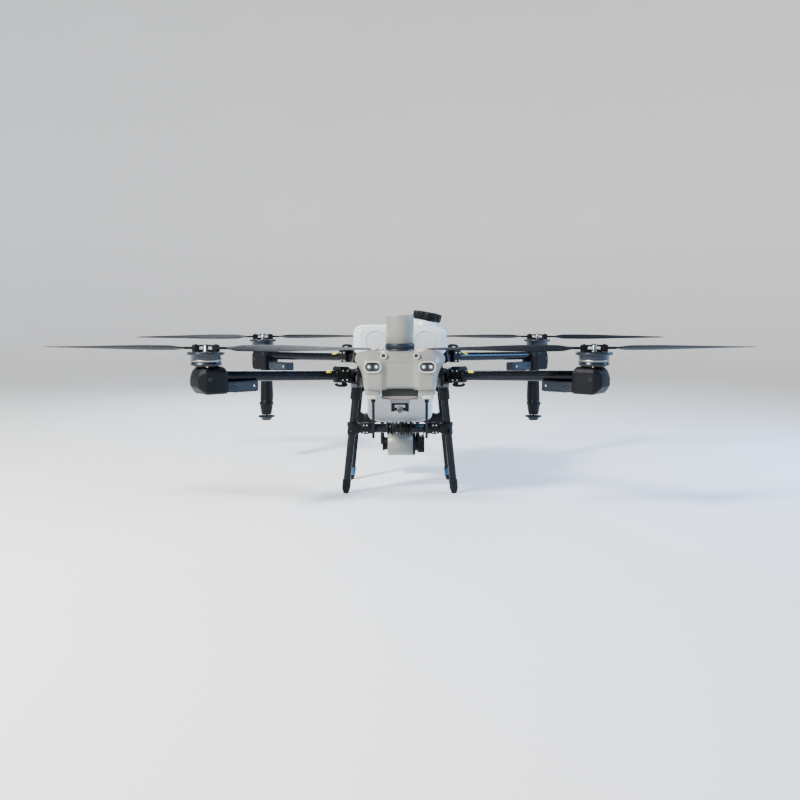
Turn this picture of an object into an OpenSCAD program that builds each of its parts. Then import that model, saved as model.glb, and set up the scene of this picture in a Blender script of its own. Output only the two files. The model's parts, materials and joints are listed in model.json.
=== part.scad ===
// Agricultural spray drone with four folding arms, a central tank and two spinning-disc sprinklers.
// The nose points to -Y, +X is the drone's own left side, +Z is up and Z = 0 is the ground.

/* [Rotor layout] */
// Sideways distance from the centre to a motor axis
motor_x = 702.5; // [690:0.5:715]
// Fore-and-aft distance from the centre to a motor axis
motor_y = 657.5; // [652:0.5:670]
// Propeller radius, from the motor axis to a blade tip
prop_r = 635; // [560:1:640]
// Height of the blade plane above the ground
blade_z = 642; // [640:0.5:645]
// Angle of the blades to the sideways direction at rest
blade_rest = 8; // [0:1:12]
// Distance from the motor axis to a blade's folding pin
blade_pin_r = 38; // [36:0.5:42]

/* [Arms] */
// Outer radius of an arm tube
arm_r = 20; // [18:0.5:21]
// Outer radius of a leg tube
leg_r = 15.5; // [12:0.5:18]
// Height of the front arm hinge
front_hinge_z = 512; // [510:1:514]
// Height of the rear arm hinge
rear_hinge_z = 560; // [558:1:562]
// Lean of the front arm's hinge axis
front_tilt = 14.9; // [14:0.1:15.5]
// Lean of the rear arm's hinge axis
rear_tilt = 16.2; // [15.5:0.1:17]

/* [Tank] */
// Width of the upper tank
tank_w = 400; // [380:2:404]
// Width of the lower tank
tank_low_w = 282; // [260:2:284]
// Height of the top of the tank
tank_top = 713; // [700:1:716]
// Wall thickness of the tank
tank_wall = 4; // [3:0.5:6]
// Radius of the filler cap
cap_r = 62.5; // [58:0.5:64]

/* [Sensors and sprinklers] */
// Radius of the upright front radar
radar_r = 54.5; // [50:0.5:56]
// Radius of the lying rear radar
rear_radar_r = 56; // [50:0.5:58]
// Radius of a spinning spray disc
disc_r = 42.5; // [36:0.5:46]
// Height of a spray disc
disc_z = 229; // [225:1:235]

/* [Hidden] */
$fn = 64;

LEFT = 1;
RIGHT = -1;
FRONT = -1;
REAR = 1;

// Hinges of the left arms; the right arms are their mirror images
front_hinge = [200, -250, front_hinge_z];
rear_hinge = [210, 250, rear_hinge_z];
// Heights of the arm tubes at the motor axes
front_tube_z = 540;
rear_tube_z = 545;
// Horizontal directions in which the hinge axes lean
front_lean_dir = 228.1;
rear_lean_dir = 129.4;

function hinge(end) = end == FRONT ? front_hinge : rear_hinge;
function motor(end) = [motor_x, end * motor_y, 0];
function arm_dir(end) = atan2(motor(end)[1] - hinge(end)[1], motor(end)[0] - hinge(end)[0]);
function arm_reach(end) = norm([motor(end)[0] - hinge(end)[0], motor(end)[1] - hinge(end)[1]]);
function arm_rise(end) = (end == FRONT ? front_tube_z : rear_tube_z) - hinge(end)[2];
function arm_slope(end) = atan(arm_rise(end) / arm_reach(end));
function arm_len(end) = norm([arm_reach(end), arm_rise(end)]);

pin_r = 8;
running_gap = 0.06;
barrel_h = 38;
ear_r = 22;
ear_h = 9;
ear_gap = 0.4;
block_start = 30;
block_end = 74;
block_w = 58;
lever_x = 38;
lever_post_r = 4.5;
tube_start = 45;
tube_wall = 2.5;
frame_x = 166;
frame_w = 20;
frame_low = 505;
frame_high = 560;

pod_low = 475;
pod_high = 575;
bell_r = 55.5;
bell_low = 579;
bell_high = 614;
disc_top = 628;
plate_t = 7;
root_t = 9;
root_r = 14;

carbon = [0.05, 0.055, 0.06];
dark_plastic = [0.13, 0.14, 0.15];
slate = [0.22, 0.25, 0.28];
warm_grey = [0.72, 0.71, 0.67];
tank_white = [0.9, 0.92, 0.93];
steel = [0.7, 0.71, 0.72];
hose_black = [0.09, 0.09, 0.1];

// ---- helpers ----

module on_side(side) {
  if (side == LEFT) children();
  else mirror([1, 0, 0]) children();
}

module both_sides() {
  for (side = [LEFT, RIGHT]) on_side(side) children();
}

// Frame at p whose Z runs towards q
module aimed(p, q) {
  v = q - p;
  translate(p) rotate([0, acos(v[2] / norm(v)), atan2(v[1], v[0])]) children();
}

// Round bar from p to q
module rod(p, q, r) {
  aimed(p, q) cylinder(r = r, h = norm(q - p));
}

// Frame whose Z runs along the leaning hinge axis
module hinge_frame(end) {
  translate(hinge(end))
    rotate([0, 0, end == FRONT ? front_lean_dir : rear_lean_dir])
      rotate([0, end == FRONT ? front_tilt : rear_tilt, 0]) children();
}

// Frame whose X runs along the arm tube, from the hinge
module arm_frame(end) {
  translate(hinge(end)) rotate([0, -arm_slope(end), arm_dir(end)]) children();
}

// Upright frame on the ground below a motor, with X pointing outwards along the arm
module motor_frame(end) {
  translate(motor(end)) rotate([0, 0, arm_dir(end)]) children();
}

// Box from low corner a to high corner b
module block(a, b) {
  translate(a) cube(b - a);
}

// Box with rounded upright edges
module round_block(a, b, r) {
  translate([0, 0, a[2]]) linear_extrude(b[2] - a[2])
    union() {
      translate([a[0] + r, a[1]]) square([b[0] - a[0] - 2 * r, b[1] - a[1]]);
      translate([a[0], a[1] + r]) square([b[0] - a[0], b[1] - a[1] - 2 * r]);
      for (x = [a[0] + r, b[0] - r], y = [a[1] + r, b[1] - r]) translate([x, y]) circle(r);
    }
}

// Hull over balls of radius r at the given centres
module ball_hull(centres, r) {
  hull() for (c = centres) translate(c) sphere(r, $fn = 32);
}

// Unit direction of a route at point i
function route_dir(p, i) =
  let (a = p[max(i - 1, 0)], b = p[min(i + 1, len(p) - 1)]) (b - a) / norm(b - a);
// A direction that no hose in this model runs along
hose_ref = [1, 0.3, 0.1];

// Smooth curve through hand-chosen points, with n steps to each span
function spline_point(p, i, t) =
  let (
    p0 = p[max(i - 1, 0)],
    p1 = p[i],
    p2 = p[i + 1],
    p3 = p[min(i + 2, len(p) - 1)]
  ) 0.5 * (2 * p1 + (p2 - p0) * t + (2 * p0 - 5 * p1 + 4 * p2 - p3) * t * t
    + (3 * p1 - p0 - 3 * p2 + p3) * t * t * t);
function spline(p, n) =
  [for (i = [0 : len(p) - 2], k = [0 : n - 1]) spline_point(p, i, k / n), p[len(p) - 1]];

// Round hose of radius r swept along a route
module hose(route, r, sides = 8) {
  rings = len(route);
  points = [for (i = [0 : rings - 1], k = [0 : sides - 1])
    let (
      t = route_dir(route, i),
      c = cross(t, hose_ref),
      u = c / norm(c),
      w = cross(t, u),
      a = 360 * k / sides
    ) route[i] + r * (cos(a) * u + sin(a) * w)];
  walls = [for (i = [0 : rings - 2], k = [0 : sides - 1]) let (n = (k + 1) % sides)
    [i * sides + k, (i + 1) * sides + k, (i + 1) * sides + n, i * sides + n]];
  polyhedron(points, concat(
    walls,
    [[for (k = [0 : sides - 1]) k]],
    [[for (k = [sides - 1 : -1 : 0]) (rings - 1) * sides + k]]
  ));
}

// ---- airframe ----

// Two deep side beams tied by three box members, with a sensor mast at the front
module centre_frame() {
  color(carbon) difference() {
    union() {
      both_sides() block([frame_x - frame_w, -275, frame_low], [frame_x, 310, frame_high]);
      block([-frame_x + 1, -270, frame_low], [frame_x - 1, -235, frame_high]);
      block([-frame_x + 1, -180, frame_low], [frame_x - 1, -145, frame_high]);
      block([-frame_x + 1, 165, frame_low], [frame_x - 1, 182, frame_high]);
      block([-frame_x + 1, 288, frame_low], [frame_x - 1, 308, frame_high]);
      block([-46, -270, frame_low], [46, -145, frame_low + 5]);
    }
    both_sides() for (y = [-210, -60, 40, 120, 235])
      translate([frame_x - frame_w - 1, y, 532]) rotate([0, 90, 0]) cylinder(r = 14, h = frame_w + 2);
    for (x = [-34, 34], y = [-255, -160]) translate([x, y, frame_low - 1]) cylinder(r = 2.6, h = 7);
  }
}

// Ears that hold one arm's hinge pin, on a plate bolted to the side beam
module hinge_bracket(end) {
  y = hinge(end)[1];
  z = hinge(end)[2];
  ear_low = barrel_h / 2 + ear_gap;
  difference() {
    union() {
      block([frame_x, y - 40, z - 44], [frame_x + 8, y + 40, z + 44]);
      for (z = [ear_low, -ear_low - ear_h]) hinge_frame(end) translate([0, 0, z])
        rotate([0, 0, -(end == FRONT ? front_lean_dir : rear_lean_dir)]) linear_extrude(ear_h) difference() {
          union() {
            circle(ear_r);
            translate([-52, -ear_r]) square([52, 2 * ear_r]);
          }
          circle(pin_r);
        }
    }
    block([0, y - 90, z - 90], [frame_x, y + 90, z + 90]);
    for (dy = [-31, 31], dz = [-35, 35]) translate([frame_x - 1, y + dy, z + dz]) rotate([0, 90, 0])
      cylinder(r = 2.6, h = 12);
  }
}

module hinge_brackets() {
  color(dark_plastic) both_sides() {
    hinge_bracket(FRONT);
    hinge_bracket(REAR);
  }
}

// Headed pin through both ears and the knuckle
module hinge_pins() {
  top = barrel_h / 2 + ear_gap + ear_h;
  color(steel) both_sides() for (end = [FRONT, REAR]) hinge_frame(end) {
    translate([0, 0, -top]) cylinder(r = pin_r, h = 2 * top);
    translate([0, 0, top]) cylinder(r = 12, h = 4);
    translate([0, 0, -top - 4]) cylinder(r = 11, h = 4);
  }
}

// ---- nose ----

nose_back = -275;
headlight_pos = [106, 559];
camera_z = 599;
nose_outer = [
  [[150, nose_back, 482], [150, nose_back, 585], [164, -330, 470], [164, -330, 592]],
  [[132, -418, 460], [132, -408, 588], [120, -425, 500]]
];

function mirrored(points) = concat(points, [for (p = points) [-p[0], p[1], p[2]]]);

// Hollow front cover with a recessed centre panel, open at the back
module nose_shell() {
  corners = mirrored(concat(nose_outer[0], nose_outer[1]));
  color(warm_grey) difference() {
    union() {
      difference() {
        ball_hull(corners, 24);
        ball_hull(corners, 20);
      }
      // bulkhead that bolts to the frame
      intersection() {
        ball_hull(corners, 22);
        difference() {
          block([-190, nose_back - 5, 454], [190, nose_back + 1, 640]);
          block([-90, nose_back - 6, 500], [90, nose_back + 2, 570]);
        }
      }
    }
    block([-190, nose_back, 400], [190, nose_back + 40, 640]);
    // room for the front arm brackets
    both_sides() block([frame_x - 0.5, front_hinge[1] - 42, front_hinge_z - 46],
      [200, nose_back + 1, front_hinge_z + 46]);
    // recess of the centre panel
    block([-76, -460, 475], [76, -440, 580]);
    // headlight and stereo camera seats
    both_sides() {
      round_headlight_seat(0.3);
      translate([64, -460, camera_z]) rotate([-90, 0, 0]) cylinder(r = 12.3, h = 60);
    }
    // seat of the upright radar
    translate([0, -330, 600]) cylinder(r = 40, h = 30);
    block([-110, -460, 400], [110, -282, 452]);
  }
}

module round_headlight_seat(gap) {
  translate([headlight_pos[0], -460, headlight_pos[1]]) rotate([-90, 0, 0]) linear_extrude(70)
    union() {
      square([46 + 2 * gap, 45 + 2 * gap], center = true);
      for (s = [-1, 1]) translate([s * 17, 0]) circle(17.5 + gap);
    }
}

// Twin lamps behind a pale rim
module headlights() {
  color(steel) both_sides() translate([headlight_pos[0], -447, headlight_pos[1]]) rotate([-90, 0, 0]) {
    difference() {
      linear_extrude(34) union() {
        square([46, 45], center = true);
        for (s = [-1, 1]) translate([s * 17, 0]) circle(17.5);
      }
      for (s = [-1, 1]) translate([s * 16, 0, -1]) cylinder(r = 13, h = 7);
    }
    for (s = [-1, 1]) translate([s * 16, 0, 2]) cylinder(r = 10, h = 4);
  }
}

// Forward camera pair in round housings
module stereo_cameras() {
  color(dark_plastic) both_sides() translate([64, -438, camera_z]) rotate([-90, 0, 0]) difference() {
    cylinder(r = 12, h = 36);
    translate([0, 0, -1]) cylinder(r = 8, h = 4);
  }
}

// Upright rotating-beam radar on a dark base ring
module front_radar() {
  color(warm_grey) translate([0, -330, 0]) {
    translate([0, 0, 616]) cylinder(r = 58.5, h = 29);
    translate([0, 0, 645]) cylinder(r = radar_r, h = 108);
    translate([0, 0, 753]) cylinder(r1 = radar_r, r2 = radar_r - 6, h = 6, $fn = 64);
    translate([0, 0, 604]) cylinder(r = 39.7, h = 12);
  }
}

// Lower lip and cheek pads under the nose
module chin_cover() {
  color(warm_grey) {
    translate([0, -392, 0]) rotate([90, 0, 0]) linear_extrude(26, center = true)
      polygon([[-76, 440], [76, 440], [70, 428], [40, 412], [-40, 412], [-70, 428]]);
    block([-76, -405, 440], [76, -281, 446]);
    both_sides() round_block([82, -422, 424], [140, -310, 435], 10);
    both_sides() block([75, -405, 428], [84, -281, 446]);
  }
}

// ---- nose-mounted small parts ----

fpv_pos = [0, -392, 388];

module fpv_bracket() {
  color(dark_plastic) difference() {
    union() {
      both_sides() block([20, -402, 380], [35, -382, 412]);
      block([-35, -402, 406], [35, -382, 412]);
    }
    translate([-50, fpv_pos[1], fpv_pos[2]]) rotate([0, 90, 0]) cylinder(r = 4 + running_gap, h = 100);
  }
}

// Ball camera that tilts on two side journals
module fpv_camera() {
  color(warm_grey) translate(fpv_pos) {
    difference() {
      rotate([0, 90, 0]) union() {
        sphere(14);
        cylinder(r = 4, h = 66, center = true);
        cylinder(r = 7, h = 38, center = true);
      }
      translate([0, -20, 0]) rotate([-90, 0, 0]) cylinder(r = 8, h = 9);
    }
  }
}

// Upright antenna rods below the cheek pads
module antenna_rods() {
  color(hose_black) both_sides() translate([107, -338, 0]) {
    translate([0, 0, 268]) cylinder(r = 5.5, h = 142);
    translate([0, 0, 410]) cylinder(r = 9, h = 14);
    translate([0, 0, 268]) sphere(5.5);
  }
}

// ---- rear deck ----

// Cover behind the tank, with a well for the battery
module rear_deck() {
  color(warm_grey) difference() {
    round_block([-138, 184, 470], [138, 420, 600], 28);
    round_block([-134, 200, 474], [134, 416, 588], 24);
    block([-74, 187, 474], [74, 286, 610]);
    block([-160, 284, 500], [160, 312, 565]);
  }
}

// ---- landing gear ----

front_leg_top = [177, -182, 500];
front_leg_foot = [231, -151, 14];
rear_leg_top = [177, 196, 500];
rear_leg_foot = [225, 151, 14];
cross_z = 282;

function leg_top(end) = end == FRONT ? front_leg_top : rear_leg_top;
function leg_foot(end) = end == FRONT ? front_leg_foot : rear_leg_foot;
function leg_at(end, z) =
  let (t = leg_top(end), f = leg_foot(end)) t + (f - t) * (t[2] - z) / (t[2] - f[2]);

module leg_tubes() {
  color(carbon) both_sides() for (end = [FRONT, REAR]) aimed(leg_top(end), leg_foot(end)) difference() {
    l = norm(leg_foot(end) - leg_top(end));
    cylinder(r = leg_r, h = l);
    translate([0, 0, -1]) cylinder(r = leg_r - tube_wall, h = l + 2);
  }
}

// Sockets that hang from the side beams and hold the leg tops
module leg_collars() {
  color(dark_plastic) both_sides() for (end = [FRONT, REAR]) difference() {
    union() {
      rod(leg_at(end, 498), leg_at(end, 405), 22);
      block([frame_x - frame_w + 1, leg_top(end)[1] - 21, 458], [204, leg_top(end)[1] + 21, frame_low]);
    }
    rod(leg_at(end, 540), leg_at(end, 380), leg_r);
    block([frame_x - 60, leg_top(end)[1] - 60, frame_low], [frame_x, leg_top(end)[1] + 60, 560]);
  }
}

// Rubber boots on the leg ends
module leg_feet() {
  color(hose_black) both_sides() for (end = [FRONT, REAR]) difference() {
    union() {
      rod(leg_at(end, 62), leg_at(end, 18), leg_r + 2.5);
      translate([leg_at(end, 18)[0], leg_at(end, 18)[1], 0]) cylinder(r1 = 14, r2 = leg_r + 2, h = 19);
    }
    rod(leg_at(end, 120), leg_at(end, 14), leg_r);
  }
}

// Sideways tubes between the legs, each with two end clamps
module cross_tubes() {
  color(carbon) both_sides() for (end = [FRONT, REAR]) {
    c = leg_at(end, cross_z);
    difference() {
      union() {
        translate([c[0], c[1], cross_z - 26]) cylinder(r = 24, h = 52);
        translate([112, c[1] - 24, cross_z - 24]) cube([c[0] - 112, 48, 48]);
        translate([0, c[1], cross_z]) rotate([0, 90, 0]) cylinder(r = 19.5, h = 120);
      }
      rod(leg_at(end, 340), leg_at(end, 220), leg_r);
    }
  }
}

// ---- rear radar ----

rear_radar_pos = [3, 232, 155];

module radar_mount() {
  y = leg_at(REAR, cross_z)[1];
  color(dark_plastic) difference() {
    union() {
      both_sides() rod([82, y, cross_z], [82, rear_radar_pos[1], rear_radar_pos[2]], 9);
      both_sides() translate([70, y, cross_z]) rotate([0, 90, 0]) cylinder(r = 25, h = 20);
      both_sides() translate([72, rear_radar_pos[1], rear_radar_pos[2]]) rotate([0, 90, 0])
        cylinder(r = 34, h = 10);
      block([82, rear_radar_pos[1] - 34, 118], [114, rear_radar_pos[1] + 34, 190]);
    }
    translate([-150, y, cross_z]) rotate([0, 90, 0]) cylinder(r = 19.5, h = 300);
  }
}

// Lying drum radar with a dark end ring
module rear_radar() {
  color(warm_grey) translate([0, rear_radar_pos[1], rear_radar_pos[2]]) rotate([0, 90, 0]) {
    translate([0, 0, -57]) cylinder(r = rear_radar_r, h = 117);
    translate([0, 0, 60]) cylinder(r = rear_radar_r - 1, h = 12);
    translate([0, 0, -72]) cylinder(r = 30, h = 15);
  }
}

radar_cable_route = [
  [98, 197.5, 178], [98.5, 190, 180], [103, 178, 194], [110, 170, 214], [118, 166, 232], [124, 164, 246],
  [126, 162, 254]
];

module radar_cable() {
  color(hose_black) hose(spline(radar_cable_route, 3), 3);
}

// ---- tank ----

tank_front = -130;
tank_back = 150;
cap_pos = [117, 0, 742];
cap_tilt = 10.7;

module cap_frame() {
  translate(cap_pos) rotate([0, cap_tilt, 0]) children();
}

// Outline of the tank from the front: wide shoulders over a deep sump with a V bottom
module tank_profile(inset) {
  w = tank_w / 2 - inset;
  n = tank_low_w / 2 - inset;
  polygon([
    [-w + 30, tank_top - inset], [-w + 9, tank_top - 9 - inset], [-w, tank_top - 30], [-w, 612],
    [-w + 10, 592 + inset], [-w + 34, 584 + inset], [-n, 572], [-n, 332], [-n + 16, 306 + inset],
    [-38, 296 + inset], [-16, 284 + inset], [16, 284 + inset], [38, 296 + inset], [n - 16, 306 + inset],
    [n, 332], [n, 572], [w - 34, 584 + inset], [w - 10, 592 + inset], [w, 612], [w, tank_top - 30],
    [w - 9, tank_top - 9 - inset], [w - 30, tank_top - inset]
  ]);
}

module tank_body(inset) {
  intersection() {
    translate([0, (tank_front + tank_back) / 2, 0]) rotate([90, 0, 0])
      linear_extrude(tank_back - tank_front - 2 * inset, center = true) tank_profile(inset);
    round_block([-tank_w / 2 + inset, tank_front + inset, 260], [tank_w / 2 - inset, tank_back - inset, 760],
      43 - inset);
  }
}

// Blow-moulded tank with a wide top, a deep sump and a tilted filler neck
module tank() {
  color(tank_white) difference() {
    union() {
      tank_body(0);
      cap_frame() translate([0, 0, -64]) cylinder(r = 55, h = 64);
    }
    tank_body(tank_wall);
    cap_frame() translate([0, 0, -90]) cylinder(r = 50, h = 120);
    translate([0, 10, 270]) cylinder(r = 12, h = 40);
  }
}

// Lugged filler cap
module tank_cap() {
  color(dark_plastic) cap_frame() difference() {
    union() {
      translate([0, 0, 2.4]) cylinder(r = cap_r - 4, h = 24);
      for (k = [0 : 11]) rotate([0, 0, 30 * k]) translate([cap_r - 8, -7, -10]) cube([8, 14, 34]);
      translate([0, 0, 20]) cylinder(r = cap_r - 18, h = 8);
      translate([0, 0, -10]) cylinder(r = cap_r - 3, h = 14);
    }
    translate([0, 0, -12]) cylinder(r = 55.4, h = 14.8);
  }
}

// Basket that hangs in the filler neck
module tank_strainer() {
  color(steel) cap_frame() difference() {
    union() {
      translate([0, 0, -80]) cylinder(r = 44, h = 80);
      cylinder(r = 54, h = 2);
    }
    translate([0, 0, -76]) cylinder(r = 41, h = 90);
  }
}

// ---- power and control ----

// Slide-in battery pack with a top handle
module battery() {
  color(dark_plastic) difference() {
    union() {
      round_block([-72, 189, 474.5], [72, 283, 676], 8);
      block([-50, 218, 676], [50, 254, 702]);
    }
    block([-38, 210, 676], [38, 262, 692]);
  }
}

module flight_controller() {
  color(slate) {
    round_block([-44, -232, 510], [44, -183, 548], 6);
    for (x = [-22, 0, 22]) translate([x, -208, 548]) cylinder(r = 6, h = 8);
  }
}

// Twin impeller pumps behind the tank
module pumps() {
  color(dark_plastic) both_sides() {
    translate([62, 200, 370]) cylinder(r = 30, h = 70);
    translate([62, 200, 440]) cylinder(r = 22, h = 30);
    translate([62, 200, 352]) cylinder(r = 12, h = 18);
  }
}

outlet_route = [
  [16, 32, 262], [22, 50, 258], [32, 80, 255], [43, 112, 251], [52, 144, 247], [57, 172, 246], [58, 196, 255],
  [59, 207, 276], [60, 207, 300], [61, 204, 325], [62, 200, 352]
];

// Drain fitting below the sump and the hoses from it to the two pumps
module liquid_hoses() {
  color(hose_black) {
    translate([0, 10, 262]) cylinder(r = 20, h = 22);
    translate([0, 10, 283]) cylinder(r = 11.8, h = 9);
    both_sides() hose(spline(outlet_route, 3), 7);
  }
}

// ---- arms ----

// Moving half of an arm hinge, with the clamp block for the tube
module knuckle(end) {
  low = end == FRONT ? -29 : -26;
  high = end == FRONT ? 36 : 40;
  cut_h = 40;
  color(dark_plastic) difference() {
    union() {
      hinge_frame(end) cylinder(r = 20, h = barrel_h, center = true);
      arm_frame(end) translate([4, -17, -14]) cube([block_start, 34, 28]);
      arm_frame(end) intersection() {
        block([block_start, -block_w / 2, low], [block_end, block_w / 2, high]);
        rotate([0, 90, 0]) linear_extrude(block_end)
          polygon([
            [-high, -20], [-high, 20], [-high + 12, 29], [-low - 10, 29], [-low, 18], [-low, -18],
            [-low - 10, -29], [-high + 12, -29]
          ]);
      }
    }
    hinge_frame(end) cylinder(r = pin_r + running_gap, h = 90, center = true);
    for (s = [0, 1]) hinge_frame(end) mirror([0, 0, s])
      translate([0, 0, barrel_h / 2]) cylinder(r = ear_r + 3, h = cut_h);
    arm_frame(end) translate([tube_start, 0, 0]) rotate([0, 90, 0]) cylinder(r = arm_r, h = 60);
    arm_frame(end) lever_journal(end, running_gap, 2);
  }
}

// Post of a lock lever, from inside the block to past its face
module lever_journal(end, gap, extra) {
  mirror([0, 0, end == FRONT ? 1 : 0]) translate([lever_x, 0, 8])
    cylinder(r = lever_post_r + gap, h = 30 + extra);
}

// Hooked handle that swings over the clamp block
module lock_lever(end) {
  face = end == FRONT ? 29.4 : 40.4;
  top = end == FRONT ? 48 : 60;
  color(hose_black) arm_frame(end) {
    lever_journal(end, 0, face - 38);
    mirror([0, 0, end == FRONT ? 1 : 0]) {
      translate([lever_x, 0, face]) cylinder(r = 7, h = top - face);
      translate([lever_x, -7, top - 10]) cube([36, 14, 10]);
      translate([lever_x + 36, 0, top - 10]) cylinder(r = 7, h = 10);
    }
  }
}

module arm_tube(end) {
  color(carbon) arm_frame(end) translate([tube_start, 0, 0]) rotate([0, 90, 0]) difference() {
    cylinder(r = arm_r, h = arm_len(end) - tube_start - 12);
    translate([0, 0, -1]) cylinder(r = arm_r - tube_wall, h = arm_len(end));
  }
}

// Motor carrier with the speed controller box behind it and the stator on top
module motor_pod(end) {
  color(dark_plastic) motor_frame(end) {
    difference() {
      intersection() {
        rotate([90, 0, 0]) linear_extrude(104, center = true)
          polygon([
            [-66, pod_low], [22, pod_low], [50, pod_low + 32], [50, pod_high - 20], [34, pod_high],
            [-50, pod_high], [-66, pod_high - 10]
          ]);
        translate([0, 0, pod_low]) linear_extrude(120)
          polygon([[-70, -40], [-50, -52], [24, -52], [50, -34], [50, 34], [24, 52], [-50, 52], [-70, 40]]);
      }
      motor_to_arm(end) rotate([0, 90, 0]) cylinder(r = arm_r, h = arm_len(end) - 10);
    }
    difference() {
      round_block([-200, -28, 477], [-66, 28, 517], 6);
      motor_to_arm(end) rotate([0, 90, 0]) cylinder(r = arm_r, h = arm_len(end) - 10);
    }
    translate([0, 0, pod_high]) difference() {
      cylinder(r = 44, h = 32);
      translate([0, 0, -1]) cylinder(r = 8 + running_gap, h = 40);
    }
  }
}

// From a motor's upright frame back to the arm tube's own frame
module motor_to_arm(end) {
  translate([-arm_reach(end), 0, hinge(end)[2]]) rotate([0, -arm_slope(end), 0]) children();
}

// Motor bell, top disc and the two hub plates that hold the blade pins
module rotor(end) {
  color(dark_plastic) motor_frame(end) {
    difference() {
      union() {
        translate([0, 0, bell_low]) cylinder(r = bell_r, h = bell_high - bell_low);
        translate([0, 0, bell_high]) cylinder(r = 67, h = disc_top - bell_high);
      }
      translate([0, 0, bell_low - 1]) cylinder(r = 48, h = 32);
    }
    translate([0, 0, pod_high + 2]) cylinder(r = 8, h = bell_high - pod_high);
    rotate([0, 0, hub_dir(end) - arm_dir(end)]) {
      hub_plate(disc_top - 1, blade_z - root_t / 2 - 0.4);
      hub_plate(blade_z + root_t / 2 + 0.4, blade_z + root_t / 2 + 0.4 + plate_t);
      for (x = [-blade_pin_r, blade_pin_r]) translate([x, 0, disc_top - 1]) cylinder(r = 5, h = 31);
      translate([0, 0, disc_top - 1]) cylinder(r = 8, h = 31);
    }
  }
}

function hub_dir(end) = end == FRONT ? blade_rest : -blade_rest;

module hub_plate(low, high) {
  for (x = [-blade_pin_r, blade_pin_r]) translate([x, 0, low]) cylinder(r = root_r, h = high - low);
  block([-blade_pin_r, -root_r, low], [blade_pin_r, root_r, high]);
}

// Blade sections: distance from the pin, chord, forward offset, pitch and thickness
function blade_at(s) = let (l = prop_r - blade_pin_r) [
  24 + (l - 24) * s,
  s < 0.12 ? 26 + 46 * s / 0.12 : 72 + 18 * sin(180 * (s - 0.12) / 0.5) * (s < 0.62 ? 1 : 0)
    - (s > 0.62 ? 40 * pow((s - 0.62) / 0.38, 1.6) : 0),
  6 * sin(180 * s),
  s < 0.1 ? 16 * s / 0.1 : 16 - 11 * (s - 0.1) / 0.9,
  9 - 6 * s
];

blade_steps = 16;
section_points = 12;

// One lofted blade with a drilled root, lying along +X from its pin
module blade_shape(hand) {
  stations = [for (i = [0 : blade_steps]) blade_at(i / blade_steps)];
  tip = len(stations) - 1;
  points = [for (i = [0 : tip], k = [0 : section_points - 1])
    let (
      b = stations[i],
      a = 360 * k / section_points,
      c = i == tip ? 0.35 * b[1] : b[1],
      y0 = c / 2 * cos(a),
      z0 = b[4] / 2 * sin(a),
      y = y0 * cos(b[3]) - z0 * sin(b[3]) + b[2],
      z = y0 * sin(b[3]) + z0 * cos(b[3])
    ) [b[0], y, z]];
  walls = [for (i = [0 : tip - 1], k = [0 : section_points - 1])
    let (n = (k + 1) % section_points, a = i * section_points, b = a + section_points)
    [a + k, b + k, b + n, a + n]];
  mirror([0, hand < 0 ? 1 : 0, 0]) difference() {
    union() {
      cylinder(r = root_r, h = root_t, center = true);
      translate([0, -11, -root_t / 2]) cube([34, 22, root_t]);
      polyhedron(points, concat(
        walls,
        [[for (k = [0 : section_points - 1]) k]],
        [[for (k = [section_points - 1 : -1 : 0]) tip * section_points + k]]
      ));
    }
    cylinder(r = 5 + running_gap, h = 40, center = true);
  }
}

// Blade of a left rotor; turn is 0 for the outer blade and 180 for the inner one
module blade(end, turn) {
  color(carbon) translate([motor_x, end * motor_y, blade_z])
    rotate([0, 0, hub_dir(end) + turn]) translate([blade_pin_r, 0, 0]) blade_shape(end);
}

// ---- sprinklers ----

sprinkler_pos = [687, 640];
collar_z = 300;
collar_r = 36;

// Lance below a rear motor that widens to the collar of the disc's own motor
module sprinkler() {
  color(dark_plastic) translate([sprinkler_pos[0], sprinkler_pos[1], 0]) {
    translate([0, 0, collar_z]) cylinder(r1 = 30, r2 = 23.5, h = pod_low - collar_z);
    translate([0, 0, collar_z - 7]) cylinder(r = collar_r, h = 14);
    difference() {
      translate([0, 0, 243]) cylinder(r1 = 25.5, r2 = 33, h = collar_z - 243);
      translate([0, 0, 236]) cylinder(r = 4 + running_gap, h = 30);
    }
  }
}

// Grooved disc on its spindle, with a deep rim below
module spray_disc() {
  color(slate) translate([sprinkler_pos[0], sprinkler_pos[1], 0]) difference() {
    union() {
      translate([0, 0, disc_z]) cylinder(r = disc_r, h = 7);
      translate([0, 0, disc_z - 16]) cylinder(r1 = 22, r2 = 30, h = 16);
      translate([0, 0, disc_z + 7]) cylinder(r = 4, h = 24);
    }
    for (k = [0 : 23]) rotate([0, 0, 15 * k]) translate([disc_r - 3, -1, disc_z - 1]) cube([6, 2, 12]);
  }
}

// Distance from the lance's axis and height along each hose, on its inner front side
sprinkler_hose_bends = [
  [38, pod_low - 0.5], [38.5, 464], [43, 440], [47, 412], [49, 384], [50, 350], [49, 326], [46, 310],
  [41.5, collar_z + 1], [collar_r + 0.9, collar_z]
];
sprinkler_hose_route = [for (b = sprinkler_hose_bends)
  [sprinkler_pos[0] - b[0] * cos(45), sprinkler_pos[1] - b[0] * sin(45), b[1]]];

module sprinkler_hose() {
  color(hose_black) hose(spline(sprinkler_hose_route, 3), 5);
}

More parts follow.
